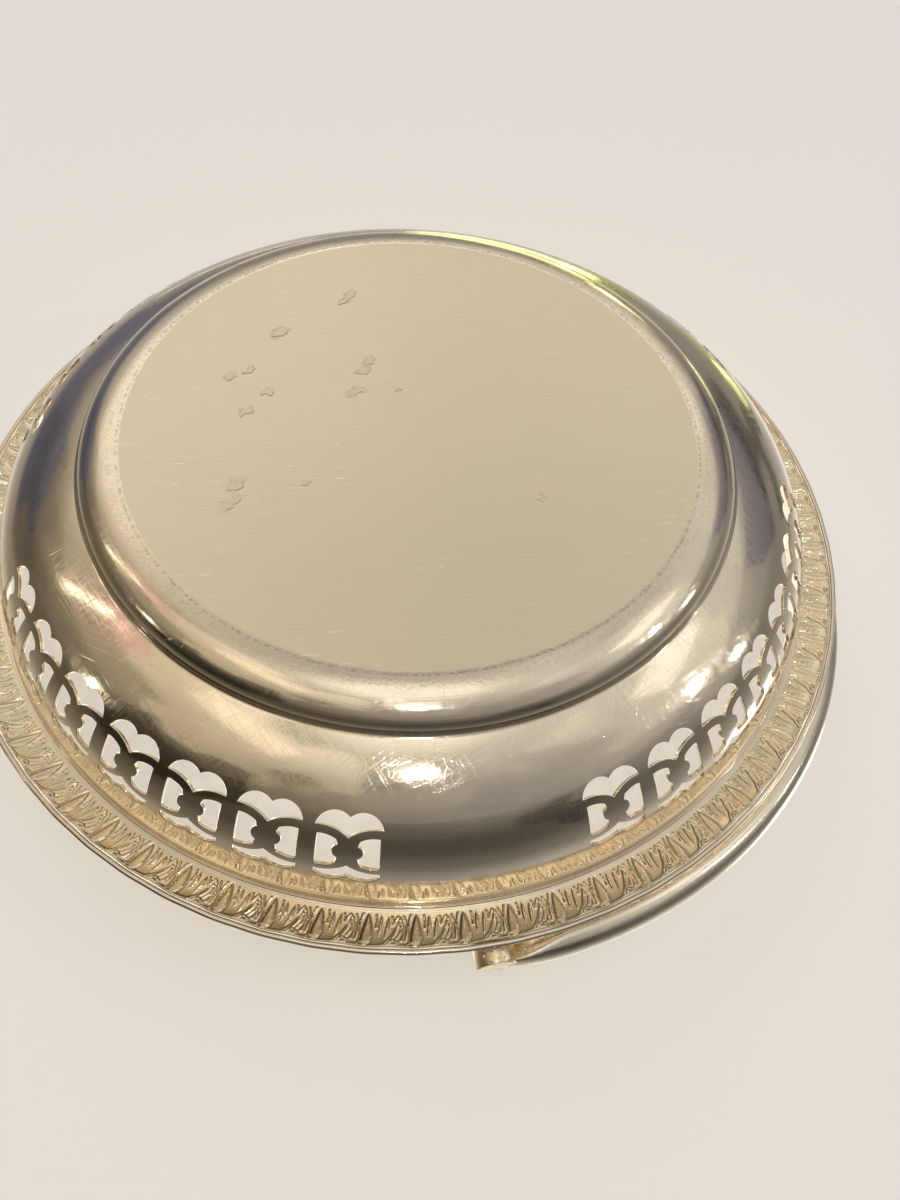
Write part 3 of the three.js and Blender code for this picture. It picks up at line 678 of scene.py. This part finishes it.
def dish_silver():
    plate, shader, coords = silver("dish_silver_plate", BRIGHT_SILVER, 0.1)
    height_up = add_node(plate.node_tree, "SeparateXYZ", {0: coords}).outputs["Z"]
    radius = vector_sum("LENGTH", vector_sum("MULTIPLY", coords, (1, 1, 0)))

    under = reckon("LESS_THAN", height_up, FLAT_HEIGHT * MM)
    reach = plus(radius, times(cloudy(coords, *RAGGED), SATIN_RAGGED * MM))
    satin = times(ramp(reach, (BASE_RADIUS + SATIN_TO) * MM, (BASE_RADIUS + SATIN_FROM) * MM), under)
    polish = minus(1.0, satin)

    low_down = reckon("LESS_THAN", height_up, WORN_HEIGHT * MM)
    beyond = minus(radius, (BASE_RADIUS + EDGE_LINE) * MM)
    edge_line = near_to(beyond, 0.0, EDGE_LINE_HALF * MM, EDGE_LINE_CORE * MM)
    beads = times(edge_line, cloudy(coords, *BEADS), low_down)
    rubbed = near_to(beyond, RUBBED_OUT * MM, RUBBED_HALF * MM, RUBBED_CORE * MM)
    worn = times(rubbed, cloudy(coords, *SPECKS), low_down)
    on_foot = times(reckon("LESS_THAN", height_up, (FOOT_HEIGHT + SHEET) * MM), polish)
    foot_lines = times(round_marks(coords, radius, *SPUN_LINES), spread(on_foot, SPUN_ON_WALL, 1.0))
    hollow, knocks = knock_marks(coords, under)

    clouds = cloudy(coords, *CLOUDS)
    smears = cloudy(coords, *SMEARS)
    brown = plus(times(clouds, CLOUD_BROWN), times(smears, SMEAR_BROWN))
    brushing = times(streaks(coords, *BRUSHING), spread(clouds, *BRUSHING_DARK))
    base = blend(satin, blend(brown, BRIGHT_SILVER, BROWN_TARNISH),
                 blend(brushing, SATIN_SILVER, BROWN_TARNISH))
    stains = most(times(knocks, KNOCK_DARK), times(worn, WORN_DARK), times(beads, BEAD_DARK))
    # The dashes are real scratches in bump and roughness; their colour is lifted towards white as a painted
    # glint
    dashes = times(scratch_lines(coords, DASHES), satin, cloudy(coords, *DASH_PATCHES))
    bright = most(times(beads, BEAD_BRIGHT), times(dashes, DASH_PAINTED_GLINT))
    colour = blend(bright, blend(stains, base, BROWN_TARNISH), WORN_AND_GLINT_WHITE)

    brushed = times(scratch_lines(coords, BRUSHED), satin, spread(clouds, *BRUSHED_DEEP))
    scratches = scratch_lines(coords, SCRATCHES)
    curls = most(swirls(coords, *WIDE_SWIRLS), swirls(coords, *SMALL_SWIRLS))
    hairs = times(most(curls, scratch_lines(coords, HAIRS)), polish)
    rough_polish = plus(spread(clouds, *POLISH_ROUGH), times(smears, SMEAR_ROUGH),
                        times(hairs, MARK_ROUGH), times(foot_lines, MARK_ROUGH))
    rough_satin = minus(SATIN_ROUGH, times(dashes, DASH_SMOOTH), times(scratches, SCRATCH_SMOOTH))
    rough = add_node(plate.node_tree, "Mix", {0: satin, 2: rough_polish, 3: rough_satin}).outputs[0]
    rough = plus(rough, times(worn, MARK_ROUGH))

    grain = times(noise(coords, GRAIN_SCALE, 2)["Fac"], satin, GRAIN_HIGH)
    layers = (scratches, hollow, brushed, dashes, hairs, foot_lines, worn, beads)
    height = minus(grain, *[times(layer, deep) for layer, deep in zip(layers, LAYERS_DEEP)])
    finish_silver(shader, colour, rough, height, BUMP_STRENGTH, BUMP_DEPTH)
    return plate


dish_points, dish_normals, dish_faces = dish_mesh()
dish = solid_from("dish_sheet", dish_points, dish_faces, dish_silver(), normals=dish_normals)
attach(dish, "basket")
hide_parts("dish")

# The border: a strip of die-struck silver, pressed with leaves, flutes and small shells, bent
# into a ring and soldered over the dish's lip. The die shows on both sides, and dirt sits in it;
# beside the tongues and at the outer edge the darkening is painted shadow.
REPEATS, UNDER_STEPS, UPPER_STEPS = 68, 72, 36
BAND_INNER, BAND_OUTER = 117.06, 125.3
BAND_TOP, BAND_EDGE, BAND_ARCH = 39.89, 37.5, 1.7
BAND_TURN = math.radians(-2.4)
BAND_THICK, UPPER_SHARE = 1.1, 0.95
LAP_INNER, LAP_TOP, LAP_UNDER = 114.9, 42.2, 40.93
BAND_WIDTH = BAND_OUTER - BAND_INNER
REPEAT_LENGTH = 2 * math.pi * (BAND_INNER + BAND_OUTER) / 2 / REPEATS
# The die's figures, as [along, outwards] points in millimetres within one repeat
TONGUE = [(0.0, 0.25), (0.55, 1.2), (0.95, 2.6), (1.2, 4.2), (1.15, 5.6), (0.75, 7.0), (0.0, 8.0),
          (-0.9, 8.0), (-1.5, 7.0), (-1.45, 5.4), (-1.1, 3.6), (-0.6, 1.6), (0.0, 0.25)]
LEAVES = [[(3.0, 0.5), (3.4, 1.6), (3.45, 3.0), (3.1, 4.6), (2.55, 5.9), (2.5, 4.2), (2.65, 2.4),
           (3.0, 0.5)],
          [(4.8, 0.9), (5.15, 2.0), (5.05, 3.6), (4.6, 5.2), (3.9, 6.6), (4.0, 4.8), (4.3, 2.6),
           (4.8, 0.9)]]
RIBS = [[(-1.2, 0.5), (-1.6, 2.0), (-1.9, 4.0), (-2.0, 6.0), (-1.9, 7.4)],
        [(5.6, 1.0), (5.8, 1.9), (5.85, 2.7)],
        [(7.0, 0.9), (6.4, 1.9), (6.1, 2.8)], [(7.4, 1.2), (6.9, 3.0), (5.6, 5.6), (4.2, 7.2), (3.5, 8.0)],
        [(7.3, 2.4), (6.9, 4.0), (5.9, 5.8), (4.7, 7.6)], [(7.6, 3.2), (7.4, 4.8), (6.7, 6.1)],
        [(8.4, 0.9), (8.9, 2.6), (9.0, 4.6), (8.7, 6.6)], [(7.75, 1.6), (8.2, 3.4), (8.2, 5.2), (7.8, 6.6)],
        [(1.9, 0.7), (2.1, 2.2), (2.0, 3.6)]]
FAN = [(7.4, 1.0), (8.0, 2.6), (8.3, 4.4), (8.3, 6.2), (7.9, 7.9), (3.7, 8.0), (4.2, 7.0), (5.6, 5.2),
       (6.9, 2.8)]
SHELL, SHELL_RADIUS, SHELL_FLUTES = (6.0, 7.05), 1.05, 5
SHELL_SQUASH, SHELL_TURN, SHELL_EDGE = 1.2, 1.6, 0.3
TONGUE_DEEP, LEAF_DEEP, FAN_DEEP, RIB_DEEP, RIB_HALF = 0.36, 0.34, 0.12, 0.27, 0.20
TONGUE_SIDE, LEAF_SIDE, FAN_SIDE, BURR_HIGH, BURR_HALF = 1.0, 0.40, 0.5, 0.10, 0.15
RIM_LINE, RIM_WAVE, RIM_WAVE_START, RIM_DEEP, RIM_HALF = 7.82, 0.14, 6.2, 0.12, 0.22
# The painted shadow beside a tongue's right side, the dirt up its middle, beside a leaf, in a
# shell and by the rim, and the painted shadow in the gap at the edge
TONGUE_SIDE_SHADOW, TONGUE_MIDDLE_DIRT, LEAF_DIRT = 0.5, 0.028, 0.30
SHELL_DIRT, RIM_DIRT, EDGE_GAP_SHADOW = 0.6, 0.30, 0.9
SCALLOP_DEEP, SCALLOP_START = 0.22, 0.4
DIRT_AND_SHADOW_PATCHES, DIRT_AND_SHADOW_CLOUDS, DIRT_AND_SHADOW_UNEVEN = (0.0011, 0.34, 0.60), (0.02, 0.3, 0.7), (0.45, 1.0)
DIRT_AND_SHADOW_BROAD, DIRT_AND_SHADOW_ROUGH, PATCH_ROUGH = (0.6, 1.0), (0.14, 0.50), 0.05
STRUCK_GRAIN, STRUCK_BUMP = 1700, (0.3, 0.00006)
PALE_GOLD = (0.92, 0.80, 0.58)
# The plum is both the tarnish in the die's hollows and the painted shadow beside the tongues and in the gap
# at the outer edge
PLUM_TARNISH_AND_SHADOW = (0.19, 0.135, 0.12)


def stroke_distance(line, x, y):
    """How far each spot lies from a line of points, counted round the repeat."""
    best = np.full(x.shape, 99.0)
    for (ax, ay), (bx, by) in zip(line, line[1:]):
        for shift in (-REPEAT_LENGTH, 0, REPEAT_LENGTH):
            px, py, gx, gy = x - ax - shift, y - ay, bx - ax, by - ay
            t = np.clip((px * gx + py * gy) / (gx * gx + gy * gy), 0, 1)
            best = np.minimum(best, np.hypot(px - t * gx, py - t * gy))
    return best


def inside_stroke(line, x, y):
    hit = np.zeros(x.shape, bool)
    for shift in (-REPEAT_LENGTH, 0, REPEAT_LENGTH):
        for (ax, ay), (bx, by) in zip(line, line[1:] + line[:1]):
            if ay != by:
                hit ^= ((ay > y) != (by > y)) & (x - shift < (bx - ax) * (y - ay) / (by - ay) + ax)
    return hit


def hump(x, width):
    return np.exp(-((x / width) ** 2))


def struck(x, y):
    """How far the die pressed the band up, and the dirt and painted shadow on it, at x along and y
    outwards.
    """
    height, dirt_and_shadow = np.zeros_like(x), np.zeros_like(x)
    edge = stroke_distance(TONGUE, x, y)
    inner = inside_stroke(TONGUE, x, y)
    height += BURR_HIGH * hump(edge - BURR_HALF, BURR_HALF) * ~inner
    height -= TONGUE_DEEP * inner * (1 - (1 - np.clip(edge / TONGUE_SIDE, 0, 1)) ** 2)
    # A dark line along the right side of each tongue only, as painted shadow
    dirt_and_shadow += TONGUE_SIDE_SHADOW * hump(edge - 0.1, 0.15) * ~inner * (x > 0)
    dirt_and_shadow += inner * np.clip(edge / 0.5, 0, 1) * np.clip(TONGUE_MIDDLE_DIRT * y, 0, 1)
    for leaf in LEAVES:
        edge = stroke_distance(leaf, x, y)
        inner = inside_stroke(leaf, x, y)
        height -= LEAF_DEEP * inner * (1 - (1 - np.clip(edge / LEAF_SIDE, 0, 1)) ** 2)
        dirt_and_shadow += LEAF_DIRT * hump(edge - 0.08, 0.12) * ~inner
    edge = stroke_distance(FAN + FAN[:1], x, y)
    height -= FAN_DEEP * inside_stroke(FAN, x, y) * np.clip(edge / FAN_SIDE, 0, 1)
    for rib in RIBS:
        height -= RIB_DEEP * hump(stroke_distance(rib, x, y), RIB_HALF)
    away = np.hypot(x - SHELL[0], (y - SHELL[1]) * SHELL_SQUASH)
    angle = np.arctan2(y - SHELL[1], x - SHELL[0])
    shell = np.clip((SHELL_RADIUS - away) / SHELL_EDGE, 0, 1)
    flutes = np.cos(SHELL_FLUTES * angle + SHELL_TURN)
    height -= shell * (0.20 + 0.10 * flutes * np.clip(away / 0.7, 0, 1)) - 0.20 * hump(away, 0.28)
    dirt_and_shadow += SHELL_DIRT * shell * np.clip(0.65 + 0.4 * flutes, 0, 1)
    scallop = 0.5 + 0.5 * np.cos(2 * np.pi * (x - RIM_WAVE_START) / REPEAT_LENGTH * 2)
    rim = RIM_LINE + RIM_WAVE * scallop
    height -= RIM_DEEP * hump(y - rim, RIM_HALF)
    # Towards the rim the plum is tarnish; past the rim line the band is darkened as painted shadow in the
    # gap before the wire
    dirt_and_shadow += RIM_DIRT * np.clip((y - 6.4) / 1.2, 0, 1) + EDGE_GAP_SHADOW * np.clip((y - rim - 0.16) / 0.12, 0, 1)
    return height * np.clip(y / 0.4, 0, 1) * np.clip((8.25 - y) / 0.3, 0, 1), np.clip(dirt_and_shadow, 0, 1)


def edge_wave(x):
    """How far the scalloped edge draws in between the tongues, at x along the repeat."""
    return -SCALLOP_DEEP * (0.5 - 0.5 * np.cos(2 * np.pi * (x + SCALLOP_START) / REPEAT_LENGTH))


def band_height(y):
    return BAND_TOP - (BAND_TOP - BAND_EDGE) * (y / BAND_WIDTH) ** BAND_ARCH


def band_rows():
    """The border's underside and upper side, as [radius, height, share of the die, outwards]."""
    under = [(BAND_INNER - 0.2, BAND_TOP - 0.01, 0.0, 0.0)]
    under += [(BAND_INNER + y, band_height(y), 1.0, y) for y in np.linspace(0, BAND_WIDTH, 56)]
    half = BAND_THICK / 2
    turn = [(BAND_OUTER + 0.08 * math.cos(a), BAND_EDGE + half + half * math.sin(a), 0.0, BAND_WIDTH)
            for a in np.linspace(-1.2, 1.2, 5)]
    upper = [(BAND_INNER + y, band_height(y) + BAND_THICK, -UPPER_SHARE, y)
             for y in np.linspace(BAND_WIDTH, 1.0, 27)]
    ogee = [(BAND_INNER + 0.75, 41.30), (BAND_INNER + 0.45, 41.62), (BAND_INNER + 0.25, 41.95),
            (BAND_INNER, 42.12), (BAND_INNER - 0.3, LAP_TOP), (LAP_INNER + 0.5, LAP_TOP),
            (LAP_INNER + 0.2, LAP_TOP - 0.06), (LAP_INNER + 0.05, LAP_TOP - 0.2),
            (LAP_INNER, LAP_TOP - 0.45), (LAP_INNER, LAP_UNDER + 0.2),
            (LAP_INNER + 0.15, LAP_UNDER), (BAND_INNER, LAP_UNDER), (BAND_INNER, BAND_TOP + 0.3)]
    return np.array(under), np.array(turn + upper + [(r, z, 0.0, 0.0) for r, z in ogee])


def pressed(rows, steps):
    """The points of one side of the border, with the dirt and painted shadow on each."""
    angles = BAND_TURN + np.arange(REPEATS * steps) * 2 * math.pi / (REPEATS * steps)
    x = (1 - np.arange(steps) / steps) * REPEAT_LENGTH
    height, dirt_and_shadow = struck(np.tile(x, (len(rows), 1)), np.tile(rows[:, 3:4], (1, steps)))
    shown = rows[:, 2:3]
    dirt_and_shadow = np.where(shown < 0, np.clip(0.75 - 3.4 * np.maximum(-height, 0), 0, 1), dirt_and_shadow) * (shown != 0)
    height, dirt_and_shadow = np.tile(height, (1, REPEATS)), np.tile(dirt_and_shadow, (1, REPEATS))
    draw = np.tile(edge_wave(x), (len(rows), REPEATS)) * np.clip((rows[:, 3:4] - 6.0) / 2.0, 0, 1)
    r, z = rows[:, 0:1] + draw, rows[:, 1:2] + abs(shown) * np.where(shown < 0, -height, height)
    points = np.stack([r * np.cos(angles), r * np.sin(angles), z], axis=-1)
    return points.reshape(-1, 3) * MM, dirt_and_shadow.reshape(-1)


def border_mesh():
    under, upper = band_rows()
    under_points, under_dirt_and_shadow = pressed(under, UNDER_STEPS)
    upper_points, upper_dirt_and_shadow = pressed(upper, UPPER_STEPS)
    faces = []
    for start, count, columns in ((0, len(under), REPEATS * UNDER_STEPS),
                                  (len(under_points), len(upper), REPEATS * UPPER_STEPS)):
        for i in range(count - 1):
            row = start + i * columns
            for j in range(columns):
                n = (j + 1) % columns
                faces.append((row + j, row + n, row + columns + n, row + columns + j))
    fine, coarse = REPEATS * UNDER_STEPS, REPEATS * UPPER_STEPS
    edge, first = len(under_points) - fine, len(under_points)
    last = first + len(upper_points) - coarse
    for j in range(coarse):
        n = (j + 1) % coarse
        a, b, c = 2 * j, 2 * j + 1, (2 * j + 2) % fine
        faces.append((edge + a, edge + b, edge + c, first + n, first + j))
        faces.append((last + j, last + n, c, b, a))
    return np.concatenate([under_points, upper_points]), faces, np.concatenate([under_dirt_and_shadow, upper_dirt_and_shadow])


def border_silver():
    plate, shader, coords = silver("border_silver_plate", PALE_GOLD, 0.2)
    held = add_node(plate.node_tree, "Attribute", {}, attribute_name="dirt_and_shadow").outputs["Fac"]
    patches = cloudy(coords, *DIRT_AND_SHADOW_PATCHES)
    amount = times(held, spread(patches, *DIRT_AND_SHADOW_UNEVEN), spread(cloudy(coords, *DIRT_AND_SHADOW_CLOUDS), *DIRT_AND_SHADOW_BROAD))
    rough = plus(spread(amount, *DIRT_AND_SHADOW_ROUGH), times(patches, PATCH_ROUGH))
    # The plum marks the tarnish in the hollows and the painted shadow beside the tongues and at the outer
    # edge
    colour = blend(amount, PALE_GOLD, PLUM_TARNISH_AND_SHADOW)
    finish_silver(shader, colour, rough, noise(coords, STRUCK_GRAIN, 3)["Fac"], *STRUCK_BUMP)
    return plate


band_points, band_faces, band_dirt_and_shadow = border_mesh()
border = solid_from("relief_border", band_points, band_faces, border_silver(), sharp=60)
dirt_and_shadow_layer = border.data.attributes.new("dirt_and_shadow", "FLOAT", "POINT")
dirt_and_shadow_layer.data.foreach_set("value", band_dirt_and_shadow.astype(np.float32))
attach(border, "basket")
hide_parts("rim_border")

# The edge wire: a plain round wire, soldered round the border's scalloped edge so that it is
# smooth to hold. It follows the scallops a little, and its surface is worn and pitted.
WIRE_RING, WIRE_HEIGHT, WIRE_RADIUS = 126.2, 37.7, 0.7
WIRE_SIDES, WIRE_STEPS, WIRE_FOLLOWS = 16, 12, 0.4
WIRE_SILVER = (0.90, 0.80, 0.67)
WIRE_CLOUDS, WIRE_PITS = (0.012, 0.35, 0.7), (0.0009, 0.60, 0.72)
WIRE_DARK, PIT_DARK, WIRE_ROUGH, PIT_ROUGH, WIRE_BUMP = 0.18, 0.35, (0.12, 0.2), 0.2, (0.4, 0.00005)


def wire_silver(name, colour):
    plate, shader, coords = silver(name, colour, 0.2)
    clouds = cloudy(coords, *WIRE_CLOUDS)
    pits = cloudy(coords, *WIRE_PITS)
    stained = blend(plus(times(pits, PIT_DARK), times(clouds, WIRE_DARK)), colour, BROWN_TARNISH)
    rough = plus(spread(clouds, *WIRE_ROUGH), times(pits, PIT_ROUGH))
    finish_silver(shader, stained, rough, minus(1.0, pits), *WIRE_BUMP)
    return plate


def skin(rows, count, all_round=False):
    """Faces between neighbouring rows of points, where each row is a closed outline."""
    faces = []
    for i in range(rows if all_round else rows - 1):
        one, two = i * count, (i + 1) % rows * count
        for j in range(count):
            k = (j + 1) % count
            faces.append((one + j, two + j, two + k, one + k))
    return faces


def capped_skin(rows, count):
    ends = [tuple(range(count)), tuple(reversed(range((rows - 1) * count, rows * count)))]
    return skin(rows, count) + ends


last_side = 2 * math.pi * (WIRE_SIDES - 1) / WIRE_SIDES
wire_outline = arc(WIRE_RING, WIRE_HEIGHT, WIRE_RADIUS, 0, last_side, WIRE_SIDES - 1)
wire_turns = REPEATS * WIRE_STEPS
wire_points = []
for i in range(wire_turns):
    a = 2 * math.pi * i / wire_turns
    along = (a - BAND_TURN) * REPEATS / (2 * math.pi) % 1
    closer = WIRE_FOLLOWS * edge_wave((1 - along) * REPEAT_LENGTH)
    for r, z in wire_outline:
        wire_points.append(((r + closer) * math.cos(a) * MM, (r + closer) * math.sin(a) * MM, z * MM))
wire_faces = skin(wire_turns, WIRE_SIDES, all_round=True)
wire = solid_from("rim_wire", wire_points, wire_faces, wire_silver("wire_silver_plate", WIRE_SILVER))
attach(wire, "basket")
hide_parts("edge_wire")

# The hinge lugs: an ear on each side, cast with a spread foot and soldered to the top of the
# border. A headed pin passes through each ear from inside.
HINGE_HEIGHT = 43.7383
KNUCKLE_IN, KNUCKLE_OUT, KNUCKLE_RADIUS = 124.6, 130.0, 4.9
LUG_IN, LUG_OUT, LUG_TURN = 121.9, 124.3, 1.75
LUG_FOOT_HALF, LUG_FOOT_BASE, LUG_FOOT_TOP = 7.0, 39.0, 41.3
PIN_RADIUS, PIN_HEAD, PIN_HEAD_OUT, PIN_HEAD_THICK, PIN_REACH = 1.6, 3.0, 121.6, 1.4, 3.6
HANDLE_SILVER = (0.86, 0.79, 0.65)


def side_turned(points, side):
    return [(side * x * MM, side * y * MM, z * MM) for x, y, z in points]


def about_hinge(outline, turns):
    """Revolves an open outline of [radius, distance] points about the hinge axis."""
    points, faces = [], []
    count = len(outline)
    for i in range(turns):
        a = 2 * math.pi * i / turns
        points += [(r * math.cos(a), y, HINGE_HEIGHT + r * math.sin(a)) for r, y in outline]
    for i in range(turns):
        one, two = i * count, (i + 1) % turns * count
        for j in range(count - 1):
            faces.append((one + j, one + j + 1, two + j + 1, two + j))
    near_end = tuple(i * count for i in range(turns))
    far_end = tuple(i * count + count - 1 for i in reversed(range(turns)))
    return points, faces + [near_end, far_end]


def lug_mesh():
    """An ear with tangent sides down to a spread foot, as rounded slices through its thickness."""
    side = [(KNUCKLE_RADIUS * math.sin(a), HINGE_HEIGHT + KNUCKLE_RADIUS * math.cos(a))
            for a in np.linspace(0, LUG_TURN, 14)]
    foot = [(5.05, 42.3), (5.4, 41.8), (6.1, LUG_FOOT_TOP + 0.1), (6.7, LUG_FOOT_TOP - 0.25),
            (LUG_FOOT_HALF, 40.4), (LUG_FOOT_HALF, LUG_FOOT_BASE)]
    half = side + foot
    outline = np.array(half + [(-x, z) for x, z in reversed(half[1:])])
    middle = np.array([0.0, HINGE_HEIGHT - 2.0])
    slices = [(LUG_IN, 0.45), (LUG_IN + 0.12, 0.15), (LUG_IN + 0.4, 0.0), (LUG_OUT - 0.4, 0.0),
              (LUG_OUT - 0.12, 0.15), (LUG_OUT, 0.45)]
    points = []
    for y, inset in slices:
        drawn = outline.copy()
        lean = drawn - middle
        drawn -= inset * lean / np.linalg.norm(lean, axis=1)[:, None]
        drawn[:, 1] = np.maximum(drawn[:, 1], LUG_FOOT_BASE)
        points += [(x, y, z) for x, z in drawn]
    return points, capped_skin(len(slices), len(outline))


crown = PIN_HEAD_OUT - PIN_HEAD_THICK
pin_outline = [(0.4, crown), (1.5, crown + 0.05), (2.4, crown + 0.35), (2.88, PIN_HEAD_OUT - 0.7),
               (PIN_HEAD, PIN_HEAD_OUT - 0.3), (PIN_HEAD, PIN_HEAD_OUT - 0.1),
               (PIN_HEAD - 0.1, PIN_HEAD_OUT), (PIN_RADIUS, PIN_HEAD_OUT),
               (PIN_RADIUS, KNUCKLE_IN + PIN_REACH), (0.3, KNUCKLE_IN + PIN_REACH)]
pin_plate = wire_silver("hinge_silver_plate", HANDLE_SILVER)
for word, side in (("front", -1), ("back", 1)):
    lug_points, lug_faces = lug_mesh()
    lug = solid_from("ear_" + word, side_turned(lug_points, side), lug_faces, pin_plate, sharp=50)
    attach(lug, "basket")
    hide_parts("hinge_lug_" + word)
    pin_points, pin_faces = about_hinge(pin_outline, 40)
    pin = solid_from("rivet_" + word, side_turned(pin_points, side), pin_faces, pin_plate, sharp=50)
    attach(pin, "handle")
    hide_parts("hinge_pin_" + word)

# The handle: a bar drawn flat on the side towards the bowl and round on the other, bent to
# half an oval, with a drum soldered to each end and the inner corner filed away beside it.
BAR_WIDTH, BAR_THICK, BAR_ROUND, BAR_FLAT_EDGE = 8.2, 5.95, 4.5, 0.75
BOW_HALF, BOW_REACH = 128.0, 134.0
FOLD = math.radians(6.3)
KNUCKLE_EDGE = 0.35
FILED_LENGTH, FILED_DEPTH = 12.0, 2.3
END_TRIM, END_TRIM_LENGTH = 1.25, 16.0
FILED_LEAN = (-0.22, -0.975)
FULL_TURN = 1.36
SOLDER_START, SOLDER_END, SOLDER_RAGGED = 7.0, 11.0, 3.0
DRAWN_SCALE = (45, 45, 900)
SOLDER_GOLD = (0.84, 0.71, 0.47)
BAR_CLOUDS, BAR_SPECKS = (0.018, 0.35, 0.7), (0.0010, 0.62, 0.72)
SOLDER_PATCHES, SOLDER_PITS = (0.0022, 0.3, 0.7), (0.0009, 0.56, 0.66)
SPECK_DARK, CLOUD_DARK, SOLDER_DARK = 0.25, 0.14, 0.8
BAR_ROUGH, SPECK_ROUGH, DRAWN_ROUGH, SOLDER_ROUGH = (0.09, 0.15), 0.15, 0.10, 0.10
PITS_DEEP, DRAWN_HIGH, BAR_BUMP = 4.0, 0.8, (0.3, 0.00005)


def bar_section():
    """The bar's outline as [outwards, across] points, flat on the inward side."""
    half, flat = BAR_WIDTH / 2, BAR_THICK / 2
    crown = [(flat - BAR_ROUND + BAR_ROUND * math.sin(a), half * math.cos(a))
             for a in np.linspace(0, math.pi, 25)]
    lower = [(-flat + 0.5, -half + 0.06), (-flat + 0.15, -half + 0.28), (-flat, -half + BAR_FLAT_EDGE)]
    face = [(-flat, -half + BAR_FLAT_EDGE + (BAR_WIDTH - 2 * BAR_FLAT_EDGE) * i / 6) for i in range(1, 6)]
    upper = [(-flat, half - BAR_FLAT_EDGE), (-flat + 0.15, half - 0.28), (-flat + 0.5, half - 0.06)]
    return np.array(crown + lower + face + upper)


def bow_mesh():
    section = bar_section()
    turns = np.concatenate([np.linspace(-math.pi / 2, -FULL_TURN, 14)[:-1],
                            np.linspace(-FULL_TURN, FULL_TURN, 120),
                            np.linspace(FULL_TURN, math.pi / 2, 14)[1:]])
    points = []
    filed = np.array(FILED_LEAN)
    corner = float(np.max(section @ filed))
    for a in turns:
        middle = np.array([BOW_REACH * math.cos(a), BOW_HALF * math.sin(a)])
        outward = np.array([BOW_HALF * math.cos(a), BOW_REACH * math.sin(a)])
        outward /= np.linalg.norm(outward)
        end = BOW_REACH * (math.pi / 2 - abs(a))
        shape = section.copy()
        trim = END_TRIM * max(0.0, 1 - end / END_TRIM_LENGTH) ** 2
        shape[:, 0] = np.where(shape[:, 0] > 0, shape[:, 0] * (1 - trim / (BAR_THICK / 2)), shape[:, 0])
        depth = FILED_DEPTH * min(1.0, max(0.0, 1 - (end - KNUCKLE_RADIUS) / FILED_LENGTH))
        past = shape @ filed - (corner - depth)
        shape = shape - np.maximum(past, 0)[:, None] * filed
        for out, across in shape:
            x, y = middle + out * outward
            points.append((x * math.cos(FOLD) - across * math.sin(FOLD), y,
                           HINGE_HEIGHT + x * math.sin(FOLD) + across * math.cos(FOLD)))
    return points, capped_skin(len(turns), len(section))


def handle_silver():
    plate, shader, coords = silver("handle_silver_plate", HANDLE_SILVER, 0.15)
    clouds = cloudy(coords, *BAR_CLOUDS)
    specks = cloudy(coords, *BAR_SPECKS)
    drawn = add_node(plate.node_tree, "Mapping", {"Vector": coords, "Scale": DRAWN_SCALE}).outputs[0]
    drawn_lines = noise(drawn, 1.0, 3)["Fac"]
    inward = add_node(plate.node_tree, "SeparateXYZ", {0: coords}).outputs["X"]
    uneven = plus(inward, times(cloudy(coords, *SOLDER_PATCHES), SOLDER_RAGGED * MM))
    solder = ramp(uneven, SOLDER_END * MM, SOLDER_START * MM)
    pits = times(solder, cloudy(coords, *SOLDER_PITS))
    stains = most(plus(times(specks, SPECK_DARK), times(clouds, CLOUD_DARK)), times(pits, SOLDER_DARK))
    colour = blend(stains, blend(solder, HANDLE_SILVER, SOLDER_GOLD), BROWN_TARNISH)
    rough = plus(spread(clouds, *BAR_ROUGH), times(specks, SPECK_ROUGH), times(drawn_lines, DRAWN_ROUGH),
                 times(solder, SOLDER_ROUGH))
    height = plus(minus(1.0, specks, times(pits, PITS_DEEP)), times(drawn_lines, DRAWN_HIGH))
    finish_silver(shader, colour, rough, height, *BAR_BUMP)
    return plate


handle_plate = handle_silver()
bow_points, bow_faces = bow_mesh()
bow = solid_from("swing_bow", side_turned(bow_points, 1), bow_faces, handle_plate, sharp=38)
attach(bow, "handle")
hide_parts("handle_bow")

knuckle_outline = [(PIN_RADIUS + 0.1, KNUCKLE_IN), (KNUCKLE_RADIUS - 0.25, KNUCKLE_IN),
                   (KNUCKLE_RADIUS - 0.07, KNUCKLE_IN + 0.07),
                   (KNUCKLE_RADIUS, KNUCKLE_IN + 0.25), (KNUCKLE_RADIUS, KNUCKLE_OUT - KNUCKLE_EDGE),
                   (KNUCKLE_RADIUS - 0.1, KNUCKLE_OUT - 0.1), (KNUCKLE_RADIUS - KNUCKLE_EDGE, KNUCKLE_OUT),
                   (KNUCKLE_RADIUS - 0.8, KNUCKLE_OUT), (2.0, KNUCKLE_OUT - 0.02),
                   (0.2, KNUCKLE_OUT - 0.02)]
for word, side in (("front", -1), ("back", 1)):
    drum_points, drum_faces = about_hinge(knuckle_outline, 64)
    drum = solid_from("end_drum_" + word, side_turned(drum_points, side), drum_faces, handle_plate,
                      sharp=40)
    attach(drum, "handle")
    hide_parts("handle_knuckle_" + word)
